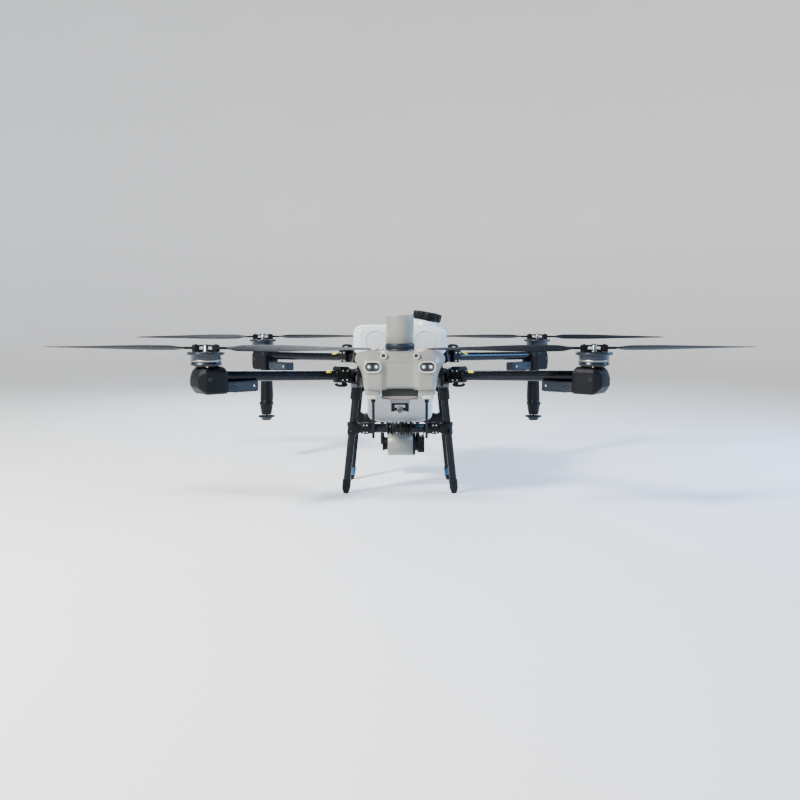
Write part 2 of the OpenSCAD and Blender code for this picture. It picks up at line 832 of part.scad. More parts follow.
centre_frame();
hinge_brackets();
hinge_pins();
nose_shell();
chin_cover();
rear_deck();
headlights();
stereo_cameras();
front_radar();
fpv_bracket();
fpv_camera();
antenna_rods();
leg_tubes();
leg_collars();
leg_feet();
cross_tubes();
radar_mount();
rear_radar();
radar_cable();
tank();
tank_cap();
tank_strainer();
battery();
flight_controller();
pumps();
liquid_hoses();
on_side(LEFT) arm_tube(FRONT);  // arm_tube_front_left
on_side(RIGHT) arm_tube(FRONT);  // arm_tube_front_right
on_side(LEFT) arm_tube(REAR);  // arm_tube_rear_left
on_side(RIGHT) arm_tube(REAR);  // arm_tube_rear_right
on_side(LEFT) knuckle(FRONT);  // knuckle_front_left
on_side(RIGHT) knuckle(FRONT);  // knuckle_front_right
on_side(LEFT) knuckle(REAR);  // knuckle_rear_left
on_side(RIGHT) knuckle(REAR);  // knuckle_rear_right
on_side(LEFT) lock_lever(FRONT);  // lock_lever_front_left
on_side(RIGHT) lock_lever(FRONT);  // lock_lever_front_right
on_side(LEFT) lock_lever(REAR);  // lock_lever_rear_left
on_side(RIGHT) lock_lever(REAR);  // lock_lever_rear_right
on_side(LEFT) motor_pod(FRONT);  // motor_pod_front_left
on_side(RIGHT) motor_pod(FRONT);  // motor_pod_front_right
on_side(LEFT) motor_pod(REAR);  // motor_pod_rear_left
on_side(RIGHT) motor_pod(REAR);  // motor_pod_rear_right
on_side(LEFT) rotor(FRONT);  // rotor_front_left
on_side(RIGHT) rotor(FRONT);  // rotor_front_right
on_side(LEFT) rotor(REAR);  // rotor_rear_left
on_side(RIGHT) rotor(REAR);  // rotor_rear_right
on_side(LEFT) blade(FRONT, 0);  // blade_out_front_left
on_side(RIGHT) blade(FRONT, 0);  // blade_out_front_right
on_side(LEFT) blade(REAR, 0);  // blade_out_rear_left
on_side(RIGHT) blade(REAR, 0);  // blade_out_rear_right
on_side(LEFT) blade(FRONT, 180);  // blade_in_front_left
on_side(RIGHT) blade(FRONT, 180);  // blade_in_front_right
on_side(LEFT) blade(REAR, 180);  // blade_in_rear_left
on_side(RIGHT) blade(REAR, 180);  // blade_in_rear_right
on_side(LEFT) sprinkler();  // sprinkler_left
on_side(RIGHT) sprinkler();  // sprinkler_right
on_side(LEFT) sprinkler_hose();  // sprinkler_hose_left
on_side(RIGHT) sprinkler_hose();  // sprinkler_hose_right
on_side(LEFT) spray_disc();  // spray_disc_left
on_side(RIGHT) spray_disc();  // spray_disc_right
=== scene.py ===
"""Looks of the agricultural spray drone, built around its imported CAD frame. Metres, nose to -Y, +Z up."""

import json
from math import atan2, cos, degrees, hypot, pi, radians, sin, sqrt

import bmesh
import bpy
from mathutils import Matrix, Vector


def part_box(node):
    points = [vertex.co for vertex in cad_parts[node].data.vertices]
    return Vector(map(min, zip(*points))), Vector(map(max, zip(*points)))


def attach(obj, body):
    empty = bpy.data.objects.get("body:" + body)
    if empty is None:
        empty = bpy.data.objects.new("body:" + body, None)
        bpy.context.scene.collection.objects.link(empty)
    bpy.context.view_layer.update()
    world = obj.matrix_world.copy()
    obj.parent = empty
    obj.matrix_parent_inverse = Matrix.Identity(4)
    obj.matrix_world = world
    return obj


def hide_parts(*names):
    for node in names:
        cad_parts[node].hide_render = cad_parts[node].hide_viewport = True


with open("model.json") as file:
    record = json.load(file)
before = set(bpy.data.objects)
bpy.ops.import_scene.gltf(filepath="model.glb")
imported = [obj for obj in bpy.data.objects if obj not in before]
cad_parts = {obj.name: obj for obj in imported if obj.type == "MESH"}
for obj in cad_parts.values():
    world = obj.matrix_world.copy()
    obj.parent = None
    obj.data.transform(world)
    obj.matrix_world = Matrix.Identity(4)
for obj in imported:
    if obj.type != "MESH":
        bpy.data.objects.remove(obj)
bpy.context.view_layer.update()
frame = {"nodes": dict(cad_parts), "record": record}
joints = {j["name"]: j for j in frame["record"]["behaviour"]["joints"]}

MM = 0.001
SIDES = {"left": 1, "right": -1}
ENDS = {"front": -1, "rear": 1}
ARMS = [(end, side) for end in ENDS for side in SIDES]
BODY = "airframe"


# ---------------------------------------------------------------- materials


class Nodes:
    """Short calls for building one material's node tree."""

    def __init__(self, name):
        self.material = bpy.data.materials.new(name)
        self.material.use_nodes = True
        self.tree = self.material.node_tree
        self.shader = self.tree.nodes["Principled BSDF"]
        self.coords = self.tree.nodes.new("ShaderNodeTexCoord").outputs["Object"]

    def node(self, kind, **inputs):
        made = self.tree.nodes.new(kind)
        for name, value in inputs.items():
            socket = made.inputs[name.replace("_", " ")]
            if isinstance(value, bpy.types.NodeSocket):
                self.tree.links.new(value, socket)
            else:
                socket.default_value = value
        return made

    def noise(self, scale, detail=3.0, stretch=(1, 1, 1)):
        moved = self.node("ShaderNodeMapping", Vector=self.coords, Scale=stretch)
        return self.node("ShaderNodeTexNoise", Vector=moved.outputs[0], Scale=scale,
                         Detail=detail).outputs["Fac"]

    def spread(self, fac, low, high, start=0.3, stop=0.7):
        made = self.node("ShaderNodeMapRange", Value=fac)
        made.inputs["From Min"].default_value = start
        made.inputs["From Max"].default_value = stop
        made.inputs["To Min"].default_value = low
        made.inputs["To Max"].default_value = high
        return made.outputs[0]

    def mix(self, fac, first, second):
        made = self.tree.nodes.new("ShaderNodeMix")
        made.data_type = "RGBA"
        for index, value in ((0, fac), (6, first), (7, second)):
            if isinstance(value, bpy.types.NodeSocket):
                self.tree.links.new(value, made.inputs[index])
            else:
                made.inputs[index].default_value = value
        return made.outputs[2]

    def bump(self, height, strength, distance):
        made = self.node("ShaderNodeBump", Height=height, Strength=strength, Distance=distance)
        self.link(made.outputs[0], "Normal")

    def link(self, output, name):
        self.tree.links.new(output, self.shader.inputs[name])

    def set(self, **values):
        for name, value in values.items():
            self.shader.inputs[name.replace("_", " ")].default_value = value


def rgba(color, gain=1.0):
    """Colour with its brightness scaled, for a node's socket."""
    return (*[min(1.0, c * gain) for c in color], 1.0)


def surface(name, color, rough, grain=900, depth=0.15, vary=0.12, dust=0.0, stretch=(1, 1, 1), **values):
    """A worn, finely textured surface: colour drift, uneven gloss, grain, and dust on what faces up."""
    n = Nodes(name)
    drift = n.noise(7, 4)
    base = n.mix(n.spread(drift, 0, 1), rgba(color, 1 - vary), rgba(color, 1 + vary))
    if dust:
        up = n.node("ShaderNodeSeparateXYZ",
                    Vector=n.tree.nodes.new("ShaderNodeNewGeometry").outputs["Normal"])
        facing = n.spread(up.outputs["Z"], 0, 1, 0.35, 1.0)
        patchy = n.node("ShaderNodeMath", Value=facing)
        patchy.operation = "MULTIPLY"
        n.tree.links.new(n.spread(n.noise(26, 6), 0, dust), patchy.inputs[1])
        base = n.mix(patchy.outputs[0], base, rgba((0.45, 0.43, 0.4)))
    n.link(base, "Base Color")
    n.link(n.spread(n.noise(45, 5, stretch), max(0.02, rough - 0.09), rough + 0.09), "Roughness")
    n.bump(n.noise(grain, 2, stretch), depth, 0.0006)
    n.set(**values)
    return n.material


def carbon_weave(name, color, cell, **values):
    """Clear-coated twill: two crossing bands that swap over from cell to cell."""
    n = Nodes(name)
    bands = []
    for angle in (radians(45), radians(-45)):
        turned = n.node("ShaderNodeMapping", Vector=n.coords, Rotation=(angle, 0, angle))
        wave = n.node("ShaderNodeTexWave", Vector=turned.outputs[0], Scale=1 / cell)
        bands.append(wave.outputs["Fac"])
    both = n.node("ShaderNodeMath", Value=bands[0])
    both.operation = "MULTIPLY"
    n.tree.links.new(bands[1], both.inputs[1])
    n.link(n.mix(both.outputs[0], rgba(color, 0.85), rgba(color, 1.35)), "Base Color")
    n.link(n.spread(n.noise(30, 5), 0.16, 0.34), "Roughness")
    n.bump(both.outputs[0], 0.04, 0.0002)
    n.set(**values)
    return n.material


def glow(name, color, strength):
    n = Nodes(name)
    n.link(n.mix(n.spread(n.noise(300, 1), 0, 1), rgba(color, 0.85), rgba(color)), "Base Color")
    n.set(Emission_Color=rgba(color), Emission_Strength=strength, Roughness=0.3)
    return n.material


shell_grey = surface("shell_grey", (0.205, 0.205, 0.182), 0.36, 1400, 0.1, 0.05, 0.1, Coat_Weight=0.12,
                     Coat_Roughness=0.3)
shell_dark = surface("shell_dark", (0.014, 0.017, 0.016), 0.55, 1200, 0.2, 0.1, 0.04, Specular_IOR_Level=0.2)
shell_brown = surface("shell_brown", (0.14, 0.13, 0.115), 0.45, 1200, 0.2, 0.1, 0.12)
shell_shade = surface("shell_shade", (0.1, 0.105, 0.11), 0.45, 1000, 0.25, 0.1, 0.12)
pale_rim = surface("pale_rim", (0.46, 0.46, 0.43), 0.33, 1500, 0.08, 0.04)
tank_white = surface("tank_white", (0.58, 0.63, 0.67), 0.34, 500, 0.14, 0.05, 0.04, Subsurface_Weight=0.35,
                     Subsurface_Scale=0.02, Coat_Weight=0.1)
carbon = carbon_weave("carbon", (0.0035, 0.0045, 0.007), 0.004, Specular_IOR_Level=0.1, Coat_Weight=0.16,
                      Coat_Roughness=0.12, Coat_Tint=(0.6, 0.78, 1.0, 1))
blade_skin = surface("blade_skin", (0.009, 0.0105, 0.014), 0.55, 700, 0.14, 0.15, 0.0, (1, 6, 1),
                     Specular_IOR_Level=0.05)
blade_tip = surface("blade_tip", (0.3, 0.03, 0.03), 0.35, 700, 0.1, 0.1)
pod_black = surface("pod_black", (0.0035, 0.0043, 0.006), 0.5, 650, 0.45, 0.15, 0.02, Specular_IOR_Level=0.14)
part_black = surface("part_black", (0.003, 0.0035, 0.0045), 0.42, 900, 0.3, 0.15, 0.0,
                     Specular_IOR_Level=0.16)
slate_light = surface("slate_light", (0.02, 0.029, 0.042), 0.4, 1000, 0.15, 0.1, 0.02,
                      Specular_IOR_Level=0.25)
slate = surface("slate", (0.01, 0.015, 0.023), 0.42, 1000, 0.2, 0.1, 0.02, Specular_IOR_Level=0.25)
rubber = surface("rubber", (0.0045, 0.0045, 0.005), 0.7, 500, 0.4, 0.2, 0.08, Specular_IOR_Level=0.25)
motor_dark = surface("motor_dark", (0.014, 0.019, 0.028), 0.3, 1100, 0.1, 0.1, 0.03, Metallic=0.5)
bare_metal = surface("bare_metal", (0.58, 0.59, 0.58), 0.26, 900, 0.2, 0.06, 0, (1, 1, 14), Metallic=1.0)
satin_metal = surface("satin_metal", (0.27, 0.28, 0.29), 0.34, 900, 0.15, 0.06, 0, (1, 1, 14), Metallic=1.0)
reflector = surface("reflector", (0.2, 0.23, 0.25), 0.2, 900, 0.05, 0.03, Metallic=1.0)
lens_glass = surface("lens_glass", (0.002, 0.0022, 0.003), 0.09, 300, 0.02, 0.1, Coat_Weight=1.0,
                     Coat_Roughness=0.02)
label_yellow = surface("label_yellow", (0.75, 0.68, 0.01), 0.4, 900, 0.1, 0.08, 0.05)
# Blue for the painted reflection on the inner side of the rear boots
painted_reflection_blue = surface("painted_reflection_blue", (0.01, 0.09, 0.19), 0.4, 900, 0.1, 0.1, 0.05)
copper = surface("copper", (0.03, 0.018, 0.012), 0.45, 2000, 0.5, 0.15, 0, (1, 1, 8), Metallic=0.6)
lamp_white = glow("lamp_white", (0.62, 0.93, 1.0), 1.3)


# ---------------------------------------------------------------- mesh tools


def turn(angle, axis):
    """Matrix that turns by an angle in degrees."""
    return Matrix.Rotation(radians(angle), 4, axis)


def shift(x, y, z):
    return Matrix.Translation((x, y, z))


def add(name, mesh, material, body, smooth=True, bevel=0.0, subdivide=0, solid=0.0, angle=32):
    """Turn a mesh into a piece with its material, modifiers and body."""
    mesh.name = name
    piece = bpy.data.objects.new(name, mesh)
    bpy.context.scene.collection.objects.link(piece)
    mesh.materials.append(material)
    if smooth:
        mesh.shade_smooth()
    if solid:
        thick = piece.modifiers.new("wall", "SOLIDIFY")
        thick.thickness = solid
    if bevel:
        edge = piece.modifiers.new("edges", "BEVEL")
        edge.width = bevel
        edge.segments = 3
        edge.limit_method = "ANGLE"
        edge.angle_limit = radians(angle)
        edge.harden_normals = True
    if subdivide:
        sub = piece.modifiers.new("smooth", "SUBSURF")
        sub.levels = subdivide
        sub.render_levels = subdivide
    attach(piece, body)
    return piece


def mesh_of(points, faces, place=None):
    """Mesh with merged points and outward faces, moved into place."""
    mesh = bpy.data.meshes.new("mesh")
    mesh.from_pydata([tuple(p) for p in points], [], faces)
    bm = bmesh.new()
    bm.from_mesh(mesh)
    bmesh.ops.remove_doubles(bm, verts=bm.verts, dist=1e-6)
    bmesh.ops.recalc_face_normals(bm, faces=bm.faces)
    bm.to_mesh(mesh)
    bm.free()
    if place is not None:
        mesh.transform(place)
        if place.to_3x3().determinant() < 0:
            mesh.flip_normals()
    return mesh


def loft(rings, place=None, closed=True, caps=True):
    """Skin over rings of equally many points."""
    count = len(rings[0])
    points = [p for ring in rings for p in ring]
    faces = []
    last = count if closed else count - 1
    for i in range(len(rings) - 1):
        for k in range(last):
            n = (k + 1) % count
            faces.append((i * count + k, i * count + n, (i + 1) * count + n, (i + 1) * count + k))
    if caps:
        faces.append(tuple(range(count))[::-1])
        faces.append(tuple((len(rings) - 1) * count + k for k in range(count)))
    return mesh_of(points, faces, place)


def circle(r, z, steps):
    """Level ring of points about Z; one of no radius is drawn just wide enough to loft."""
    r = max(r, 1e-5)
    return [(r * cos(2 * pi * k / steps), r * sin(2 * pi * k / steps), z) for k in range(steps)]


def lathe(profile, place=None, steps=64):
    """Turned body about local Z from (radius, height) pairs; a radius of 0 closes it."""
    return loft([circle(radius, height, steps) for radius, height in profile], place)


def box_mesh(low, high, place=None):
    corners = [(x, y, z) for x in (low[0], high[0]) for y in (low[1], high[1]) for z in (low[2], high[2])]
    faces = [(0, 1, 3, 2), (4, 6, 7, 5), (0, 4, 5, 1), (2, 3, 7, 6), (0, 2, 6, 4), (1, 5, 7, 3)]
    return mesh_of(corners, faces, place)


def prism(outline, low, high, place=None):
    """Straight body over an outline of (x, y) points, from height low to height high."""
    return loft([[(x, y, low) for x, y in outline], [(x, y, high) for x, y in outline]], place)


def arc(cx, cy, r, start, stop, steps=10):
    """Points along an arc, from one angle in degrees to another."""
    return [
        (cx + r * cos(radians(start + (stop - start) * k / steps)),
         cy + r * sin(radians(start + (stop - start) * k / steps)))
        for k in range(steps + 1)
    ]


def rounded(width, height, r, steps=8):
    """Outline of a rounded rectangle about the origin."""
    x, y = width / 2 - r, height / 2 - r
    corners = ((x, y, 0), (-x, y, 90), (-x, -y, 180), (x, -y, 270))
    return [point for cx, cy, start in corners for point in arc(cx, cy, r, start, start + 90, steps)]


def sweep(route, outline, place):
    """An outline of (sideways, outwards) points carried along a smooth route of (x, z) points."""
    points = smooth_route(route, 6)
    rings = []
    for i, (x, z) in enumerate(points):
        (x0, z0), (x1, z1) = points[max(i - 1, 0)], points[min(i + 1, len(points) - 1)]
        length = hypot(x1 - x0, z1 - z0)
        nx, nz = -(z1 - z0) / length, (x1 - x0) / length
        size = 1.0 if i < len(points) - 1 else 0.55
        rings.append([(x + nx * n * size, w * size, z + nz * n * size) for w, n in outline])
    return loft(rings, place)


def smooth_route(route, steps):
    """Catmull-Rom curve through given points."""
    out = []
    for i in range(len(route) - 1):
        near = [route[max(i - 1, 0)], route[i], route[i + 1], route[min(i + 2, len(route) - 1)]]
        for k in range(steps):
            t = k / steps
            out.append(tuple(
                0.5 * (2 * b + (c - a) * t + (2 * a - 5 * b + 4 * c - d) * t * t
                       + (3 * b - a - 3 * c + d) * t ** 3)
                for a, b, c, d in zip(*near)
            ))
    out.append(tuple(route[-1]))
    return out


def tube(name, route, radius, material, body, steps=12):
    """Smooth round hose or wire through the given points."""
    curve = bpy.data.curves.new(name, "CURVE")
    curve.dimensions = "3D"
    spline = curve.splines.new("BEZIER")
    spline.bezier_points.add(len(route) - 1)
    for point, place in zip(spline.bezier_points, route):
        point.co = place
        point.handle_left_type = "AUTO"
        point.handle_right_type = "AUTO"
    curve.bevel_depth = radius
    curve.bevel_resolution = 4
    curve.resolution_u = steps
    curve.use_fill_caps = True
    curve.materials.append(material)
    piece = bpy.data.objects.new(name, curve)
    bpy.context.scene.collection.objects.link(piece)
    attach(piece, body)
    return piece


def turn_to(direction, at=(0, 0, 0)):
    """Matrix whose Z looks along a direction, moved to a place."""
    return Matrix.Translation(at) @ Vector(direction).to_track_quat("Z", "Y").to_matrix().to_4x4()


def screw_row(name, places, direction, radius, body):
    """Socket-head screws seated along a direction, in one mesh."""
    bm = bmesh.new()
    profile = [(0, 0.25), (0.45, 0.25), (0.5, 0.75), (0.95, 0.8), (1.0, 0.6), (1.0, -0.4), (0, -0.4)]
    for at in places:
        one = lathe([(r * radius, z * radius) for r, z in profile], turn_to(direction, at), 20)
        bm.from_mesh(one)
        bpy.data.meshes.remove(one)
    mesh = bpy.data.meshes.new(name)
    bm.to_mesh(mesh)
    bm.free()
    return add(name, mesh, bare_metal, body)


# ---------------------------------------------------------------- stage, camera, light


def stage():
    """A wide pale floor that curves up into a wall all round."""
    radius, height, bend = 14.0, 7.0, 2.5
    profile = [(0, 0), (4.0, 0), (radius - bend, 0)]
    profile += [
        (radius - bend + bend * sin(a), bend - bend * cos(a))
        for a in [radians(90) * k / 12 for k in range(1, 13)]
    ]
    profile.append((radius, height))
    below = 0.0005
    mesh = loft([circle(r, z - below, 96) for r, z in profile], caps=False)
    mesh.flip_normals()
    floor = bpy.data.objects.new("backdrop", mesh)
    bpy.context.scene.collection.objects.link(floor)
    n = Nodes("backdrop")
    n.link(n.mix(n.spread(n.noise(0.6, 2), 0, 1), rgba((0.88, 0.88, 0.88)), rgba((0.91, 0.91, 0.91))),
           "Base Color")
    n.set(Roughness=0.9, Specular_IOR_Level=0.1, Emission_Color=(1, 1, 1, 1), Emission_Strength=0.34)
    mesh.materials.append(n.material)
    mesh.shade_smooth()


def camera():
    data = bpy.data.cameras.new("camera")
    data.lens = 39.1
    data.sensor_width = 36
    data.clip_end = 60
    seen_from = bpy.data.objects.new("camera", data)
    seen_from.location = (0.0, -3.803, 0.782)
    tilt_down = 5.98
    seen_from.rotation_euler = (radians(90 - tilt_down), 0, 0)
    bpy.context.scene.collection.objects.link(seen_from)
    bpy.context.scene.camera = seen_from


def area_light(name, at, target, size, power, color):
    data = bpy.data.lights.new(name, "AREA")
    data.shape = "DISK"
    data.size = size
    data.energy = power
    data.color = color
    lamp = bpy.data.objects.new(name, data)
    lamp.location = at
    lamp.rotation_euler = (Vector(target) - Vector(at)).to_track_quat("-Z", "Y").to_euler()
    bpy.context.scene.collection.objects.link(lamp)


def lights():
    world = bpy.data.worlds.new("studio")
    world.use_nodes = True
    background = world.node_tree.nodes["Background"]
    background.inputs["Color"].default_value = (0.8, 0.9, 1.0, 1)
    background.inputs["Strength"].default_value = 0.12
    bpy.context.scene.world = world
    area_light("key", (-3.0, -3.0, 3.6), (0, 0, 0.5), 1.0, 640, (1.0, 0.97, 0.92))
    area_light("sky", (3.4, 0.1, 2.0), (0, 0, 0.5), 2.0, 210, (0.24, 0.52, 1.0))
    area_light("rim", (-0.8, 3.6, 2.8), (0, 0, 0.5), 2.0, 110, (0.85, 0.93, 1.0))


# ---------------------------------------------------------------- nose

# Level lines of the nose cover: height, front, depth of the middle panel, then the half-widths of the
# cheek edge, the shoulder, the widest point and the back
NOSE_LINES = [
    (466, -431, 34, 128, 137, 142, 140),
    (470, -436, 34, 129, 139, 144, 142),
    (474, -438, 30, 129, 140, 145, 144),
    (477, -439, 14, 130, 141, 146, 145),
    (500, -442, 14, 131, 143, 149, 150),
    (530, -444, 14, 133, 147, 154, 156),
    (552, -444, 14, 136, 153, 165, 162),
    (570, -443, 12, 138, 159, 177, 168),
    (577, -442, 7, 138, 160, 181, 169),
    (583, -439, 0, 138, 160, 182, 169),
    (594, -431, 0, 137, 158, 180, 168),
    (606, -419, 0, 134, 152, 172, 166),
    (613, -409, 0, 130, 144, 160, 160),
    (616.5, -396, 0, 122, 134, 146, 150),
]


def nose_line(z, front, depth, cheek, shoulder, side, back):
    """Half outline from the middle outwards; the cheeks rise a little above the middle at the top."""
    swept = 4 if z < 574 else 8
    lift = max(0.0, (z - 600) * 0.66)
    half = [(0, front + depth, 0), (48, front + depth, 0), (54, front + 0.92 * depth, 0),
            (70, front + 0.1 * depth, 0), (75, front, 0), (79, front + 0.3, 0),
            (cheek - 4, front + swept, lift), (cheek, front + swept + 2, lift),
            (shoulder, front + swept + 26, lift), (side, -356, 0), (side - 1, -326, 0), (back, -277, 0)]
    whole = [(-x, y, up) for x, y, up in reversed(half[1:])] + half
    return [(x * MM, y * MM, (z + up) * MM) for x, y, up in whole]


def nose():
    """Shell with its headlights, forward cameras, vents and cheek panels."""
    rings = [nose_line(*line) for line in NOSE_LINES]
    top_z = 0.6185
    under = [(x * 0.96, min(y + 0.006, -0.28), 0.4662) for x, y, z in rings[0]]
    crown = [(x * 0.86, -0.33 + (y + 0.33) * 0.8, z + 0.0015) for x, y, z in rings[-1]]
    top = [(x * 0.4, -0.33 + (y + 0.33) * 0.5, top_z) for x, y, z in rings[-1]]
    skin = loft([under] + rings + [crown, top], closed=False, caps=False)
    bm = bmesh.new()
    bm.from_mesh(skin)
    bm.faces.new([v for v in bm.verts if abs(v.co.z - top_z) < 1e-6])
    bmesh.ops.recalc_face_normals(bm, faces=bm.faces)
    bm.to_mesh(skin)
    bm.free()
    cover = add("nose_cover", skin, shell_grey, BODY, solid=0.003, subdivide=2)
    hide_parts("nose_shell")
    for side, s in SIDES.items():
        place = shift(s * 0.106, -0.4405, 0.5585) @ turn(90, "X")
        rims = [(0.068, 0.046, -0.004, 0.0215), (0.068, 0.046, 0.0075, 0.0215),
                (0.065, 0.043, 0.0098, 0.0205), (0.0585, 0.0365, 0.0092, 0.0175),
                (0.057, 0.035, 0.003, 0.017)]
        rings = [[(x, y, z) for x, y in rounded(w, h, r)] for w, h, z, r in rims]
        add("lamp_rim_" + side, loft(rings, place), pale_rim, BODY)
        glass = prism(rounded(0.0568, 0.0348, 0.0165), 0.002, 0.0055, place)
        add("lamp_glass_" + side, glass, lens_glass, BODY, bevel=0.0008)
        for tag, k in (("in", -s), ("out", s)):
            at = place @ shift(k * 0.0142, 0, 0.0055)
            ring = [(0.0042, 0.0002), (0.0086, 0.0018), (0.0094, 0.0016), (0.0098, 0), (0.0098, -0.001),
                    (0.0042, -0.001)]
            add(f"lamp_cup_{side}_{tag}", lathe(ring, at, 40), reflector, BODY)
            led = lathe([(0, 0.0034), (0.0026, 0.003), (0.0046, 0.0014), (0.0052, 0.0002)], at, 4)
            add(f"lamp_led_{side}_{tag}", led, lamp_white, BODY)
        eye = shift(s * 0.0635, -0.4315, 0.601) @ turn(90, "X")
        ring = [(0.0126, -0.02), (0.0126, 0.0072), (0.0119, 0.0088), (0.01, 0.009), (0.0084, 0.0078),
                (0.0076, 0.003)]
        add("camera_ring_" + side, lathe(ring, eye, 48), pale_rim, BODY)
        dome = [(0, 0.0066), (0.004, 0.0062), (0.0064, 0.0046), (0.0078, 0.0026), (0.0078, 0)]
        add("camera_lens_" + side, lathe(dome, eye, 40), lens_glass, BODY)
        for k in range(9):
            slot = box_mesh((-0.0014, 0, -0.0011), (0.0014, 0.003, 0.0011),
                            shift(s * (0.084 + 0.0048 * k), -0.4405, 0.5295))
            add(f"vent_{side}_{k}", slot, shell_dark, BODY, bevel=0.0005)
        lean = shift(s * 0.104, -0.4385, 0.5) @ turn(90, "X") @ turn(3 * s, "Y")
        panel = prism(rounded(0.046, 0.05, 0.004), -0.002, 0.0012, lean)
        add("cheek_panel_" + side, panel, shell_grey, BODY, bevel=0.0006)
    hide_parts("headlights")
    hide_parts("stereo_cameras")


def chin():
    """Dark recess, stepped pads under the cheeks and the brownish lip with its two slots."""
    face = turn(90, "X")
    recess = prism([(-0.074, 0.4765), (-0.07, 0.438), (0.07, 0.438), (0.074, 0.4765)], 0.0, 0.02,
                   shift(0, -0.384, 0) @ face)
    add("chin_panel", recess, shell_dark, BODY, bevel=0.003)
    lip = [(-76, 436), (-58, 442), (58, 442), (76, 436), (68, 428), (-68, 428)]
    piece = add("chin_lip", prism([(x * MM, z * MM) for x, z in lip], 0, 0.026, shift(0, -0.379, 0) @ face),
                shell_brown, BODY, bevel=0.0025)
    keel = [(-44, 429), (44, 429), (36, 413), (-36, 413)]
    add("chin_keel", prism([(x * MM, z * MM) for x, z in keel], 0, 0.022, shift(0, -0.38, 0) @ face),
        shell_shade, BODY, bevel=0.002)
    for side, s in SIDES.items():
        hole = prism(rounded(0.024, 0.0045, 0.002, 4), 0, 0.0264, shift(s * 0.056, -0.379, 0.4305) @ face)
        add("chin_slot_" + side, hole, lens_glass, BODY, bevel=0.0004)
        steps = ((0.06, 0.108, 0.449, 0.467, 0.108), (0.044, 0.1, 0.431, 0.4495, 0.11))
        for step, (w, d, low, high, x) in enumerate(steps):
            place = shift(s * x, -0.371, 0)
            pad = prism(rounded(w, d, 0.01, 4), low, high, place)
            add(f"cheek_pad_{side}_{step}", pad, (shell_grey, pale_rim)[step], BODY, bevel=0.0025)
        foot = prism(rounded(0.03, 0.04, 0.006, 4), 0.424, 0.4315, shift(s * 0.108, -0.345, 0))
        add("cheek_socket_" + side, foot, part_black, BODY, bevel=0.001)
    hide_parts("chin_cover")


# ---------------------------------------------------------------- sensors


def radars():
    """Upright front radar on its dark ring, and the drum of the rear one."""
    at = shift(0, -0.33, 0)
    base = [(0, 0.6155), (0.0585, 0.6155), (0.0585, 0.622), (0.0577, 0.6225), (0.0577, 0.6262),
            (0.0585, 0.6268), (0.0585, 0.6438), (0.0575, 0.645), (0, 0.645)]
    dark = add("radar_base", lathe(base, at, 96), slate, BODY)
    drum = [(0, 0.645), (0.0528, 0.645), (0.0528, 0.6462), (0.0545, 0.6472), (0.0545, 0.7532),
            (0.0538, 0.756), (0.0518, 0.7582), (0.0485, 0.759), (0.02, 0.7588), (0, 0.7588)]
    add("radar_drum", lathe(drum, at, 96), shell_grey, BODY)
    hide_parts("front_radar")
    low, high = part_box("rear_radar")
    centre = Vector(((low[0] + high[0]) / 2, (low[1] + high[1]) / 2, (low[2] + high[2]) / 2))
    lie = shift(0, centre.y, centre.z) @ turn(90, "Y")
    body = [(0, -0.057), (0.0535, -0.057), (0.056, -0.054), (0.056, 0.0595), (0, 0.0595)]
    beige = add("rear_radar_drum", lathe(body, lie, 96), shell_grey, BODY)
    ring = [(0, 0.0595), (0.0545, 0.0595), (0.0552, 0.061), (0.0552, 0.07), (0.0535, 0.072), (0.03, 0.072),
            (0, 0.072)]
    add("rear_radar_ring", lathe(ring, lie, 96), part_black, BODY)
    hub = [(0, -0.072), (0.03, -0.072), (0.03, -0.0575), (0, -0.057)]
    add("rear_radar_hub", lathe(hub, lie, 64), part_black, BODY)
    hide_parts("rear_radar")


def fpv():
    """Small ball camera that tilts between the two cheeks of its bracket."""
    at = Vector(joints["fpv_tilt"]["pos_m"])
    place = Matrix.Translation(at) @ turn(90 + 14, "X")
    ball = [(0.014 * cos(a), 0.014 * sin(a)) for a in [radians(-90 + 8 * k) for k in range(17)]]
    ball += [(0.0112, 0.01), (0.0112, 0.0142), (0.0106, 0.015), (0.0092, 0.015), (0.0086, 0.01),
             (0, 0.01)]
    shell = add("fpv_ball", lathe(ball, place, 64), shell_shade, "fpv_camera_ball")
    glass = [(0, 0.0138), (0.004, 0.0133), (0.007, 0.012), (0.0088, 0.0104), (0.0088, 0.0095)]
    add("fpv_lens", lathe(glass, place, 48), lens_glass, "fpv_camera_ball")
    across = Matrix.Translation(at) @ turn(90, "Y")
    pivot = [(0, -0.033), (0.004, -0.033), (0.004, -0.019), (0.007, -0.019), (0.007, 0.019), (0.004, 0.019),
             (0.004, 0.033), (0, 0.033)]
    add("fpv_pivot", lathe(pivot, across, 32), part_black, "fpv_camera_ball")
    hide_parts("fpv_camera")


# ---------------------------------------------------------------- tank

TANK_MID_Y = 0.01
# Height, half-width, half-depth and corner radius of the tank's level rings
TANK_RINGS = [(284.5, 14, 122, 10), (288, 22, 128, 16), (297, 42, 132, 26), (306.5, 122, 136, 34),
              (317, 134, 138, 38), (332, 140, 140, 41), (354, 141, 140, 42), (450, 141, 140, 42),
              (562, 141, 140, 42), (576, 148, 140, 42), (585, 168, 140, 43), (594, 190, 140, 43),
              (606, 198, 140, 43), (622, 200, 140, 43), (650, 200, 140, 43), (682, 200, 140, 43),
              (698, 197, 137, 42), (708, 186, 128, 38), (712.5, 166, 112, 34), (713, 120, 80, 30),
              (713, 40, 26, 16)]


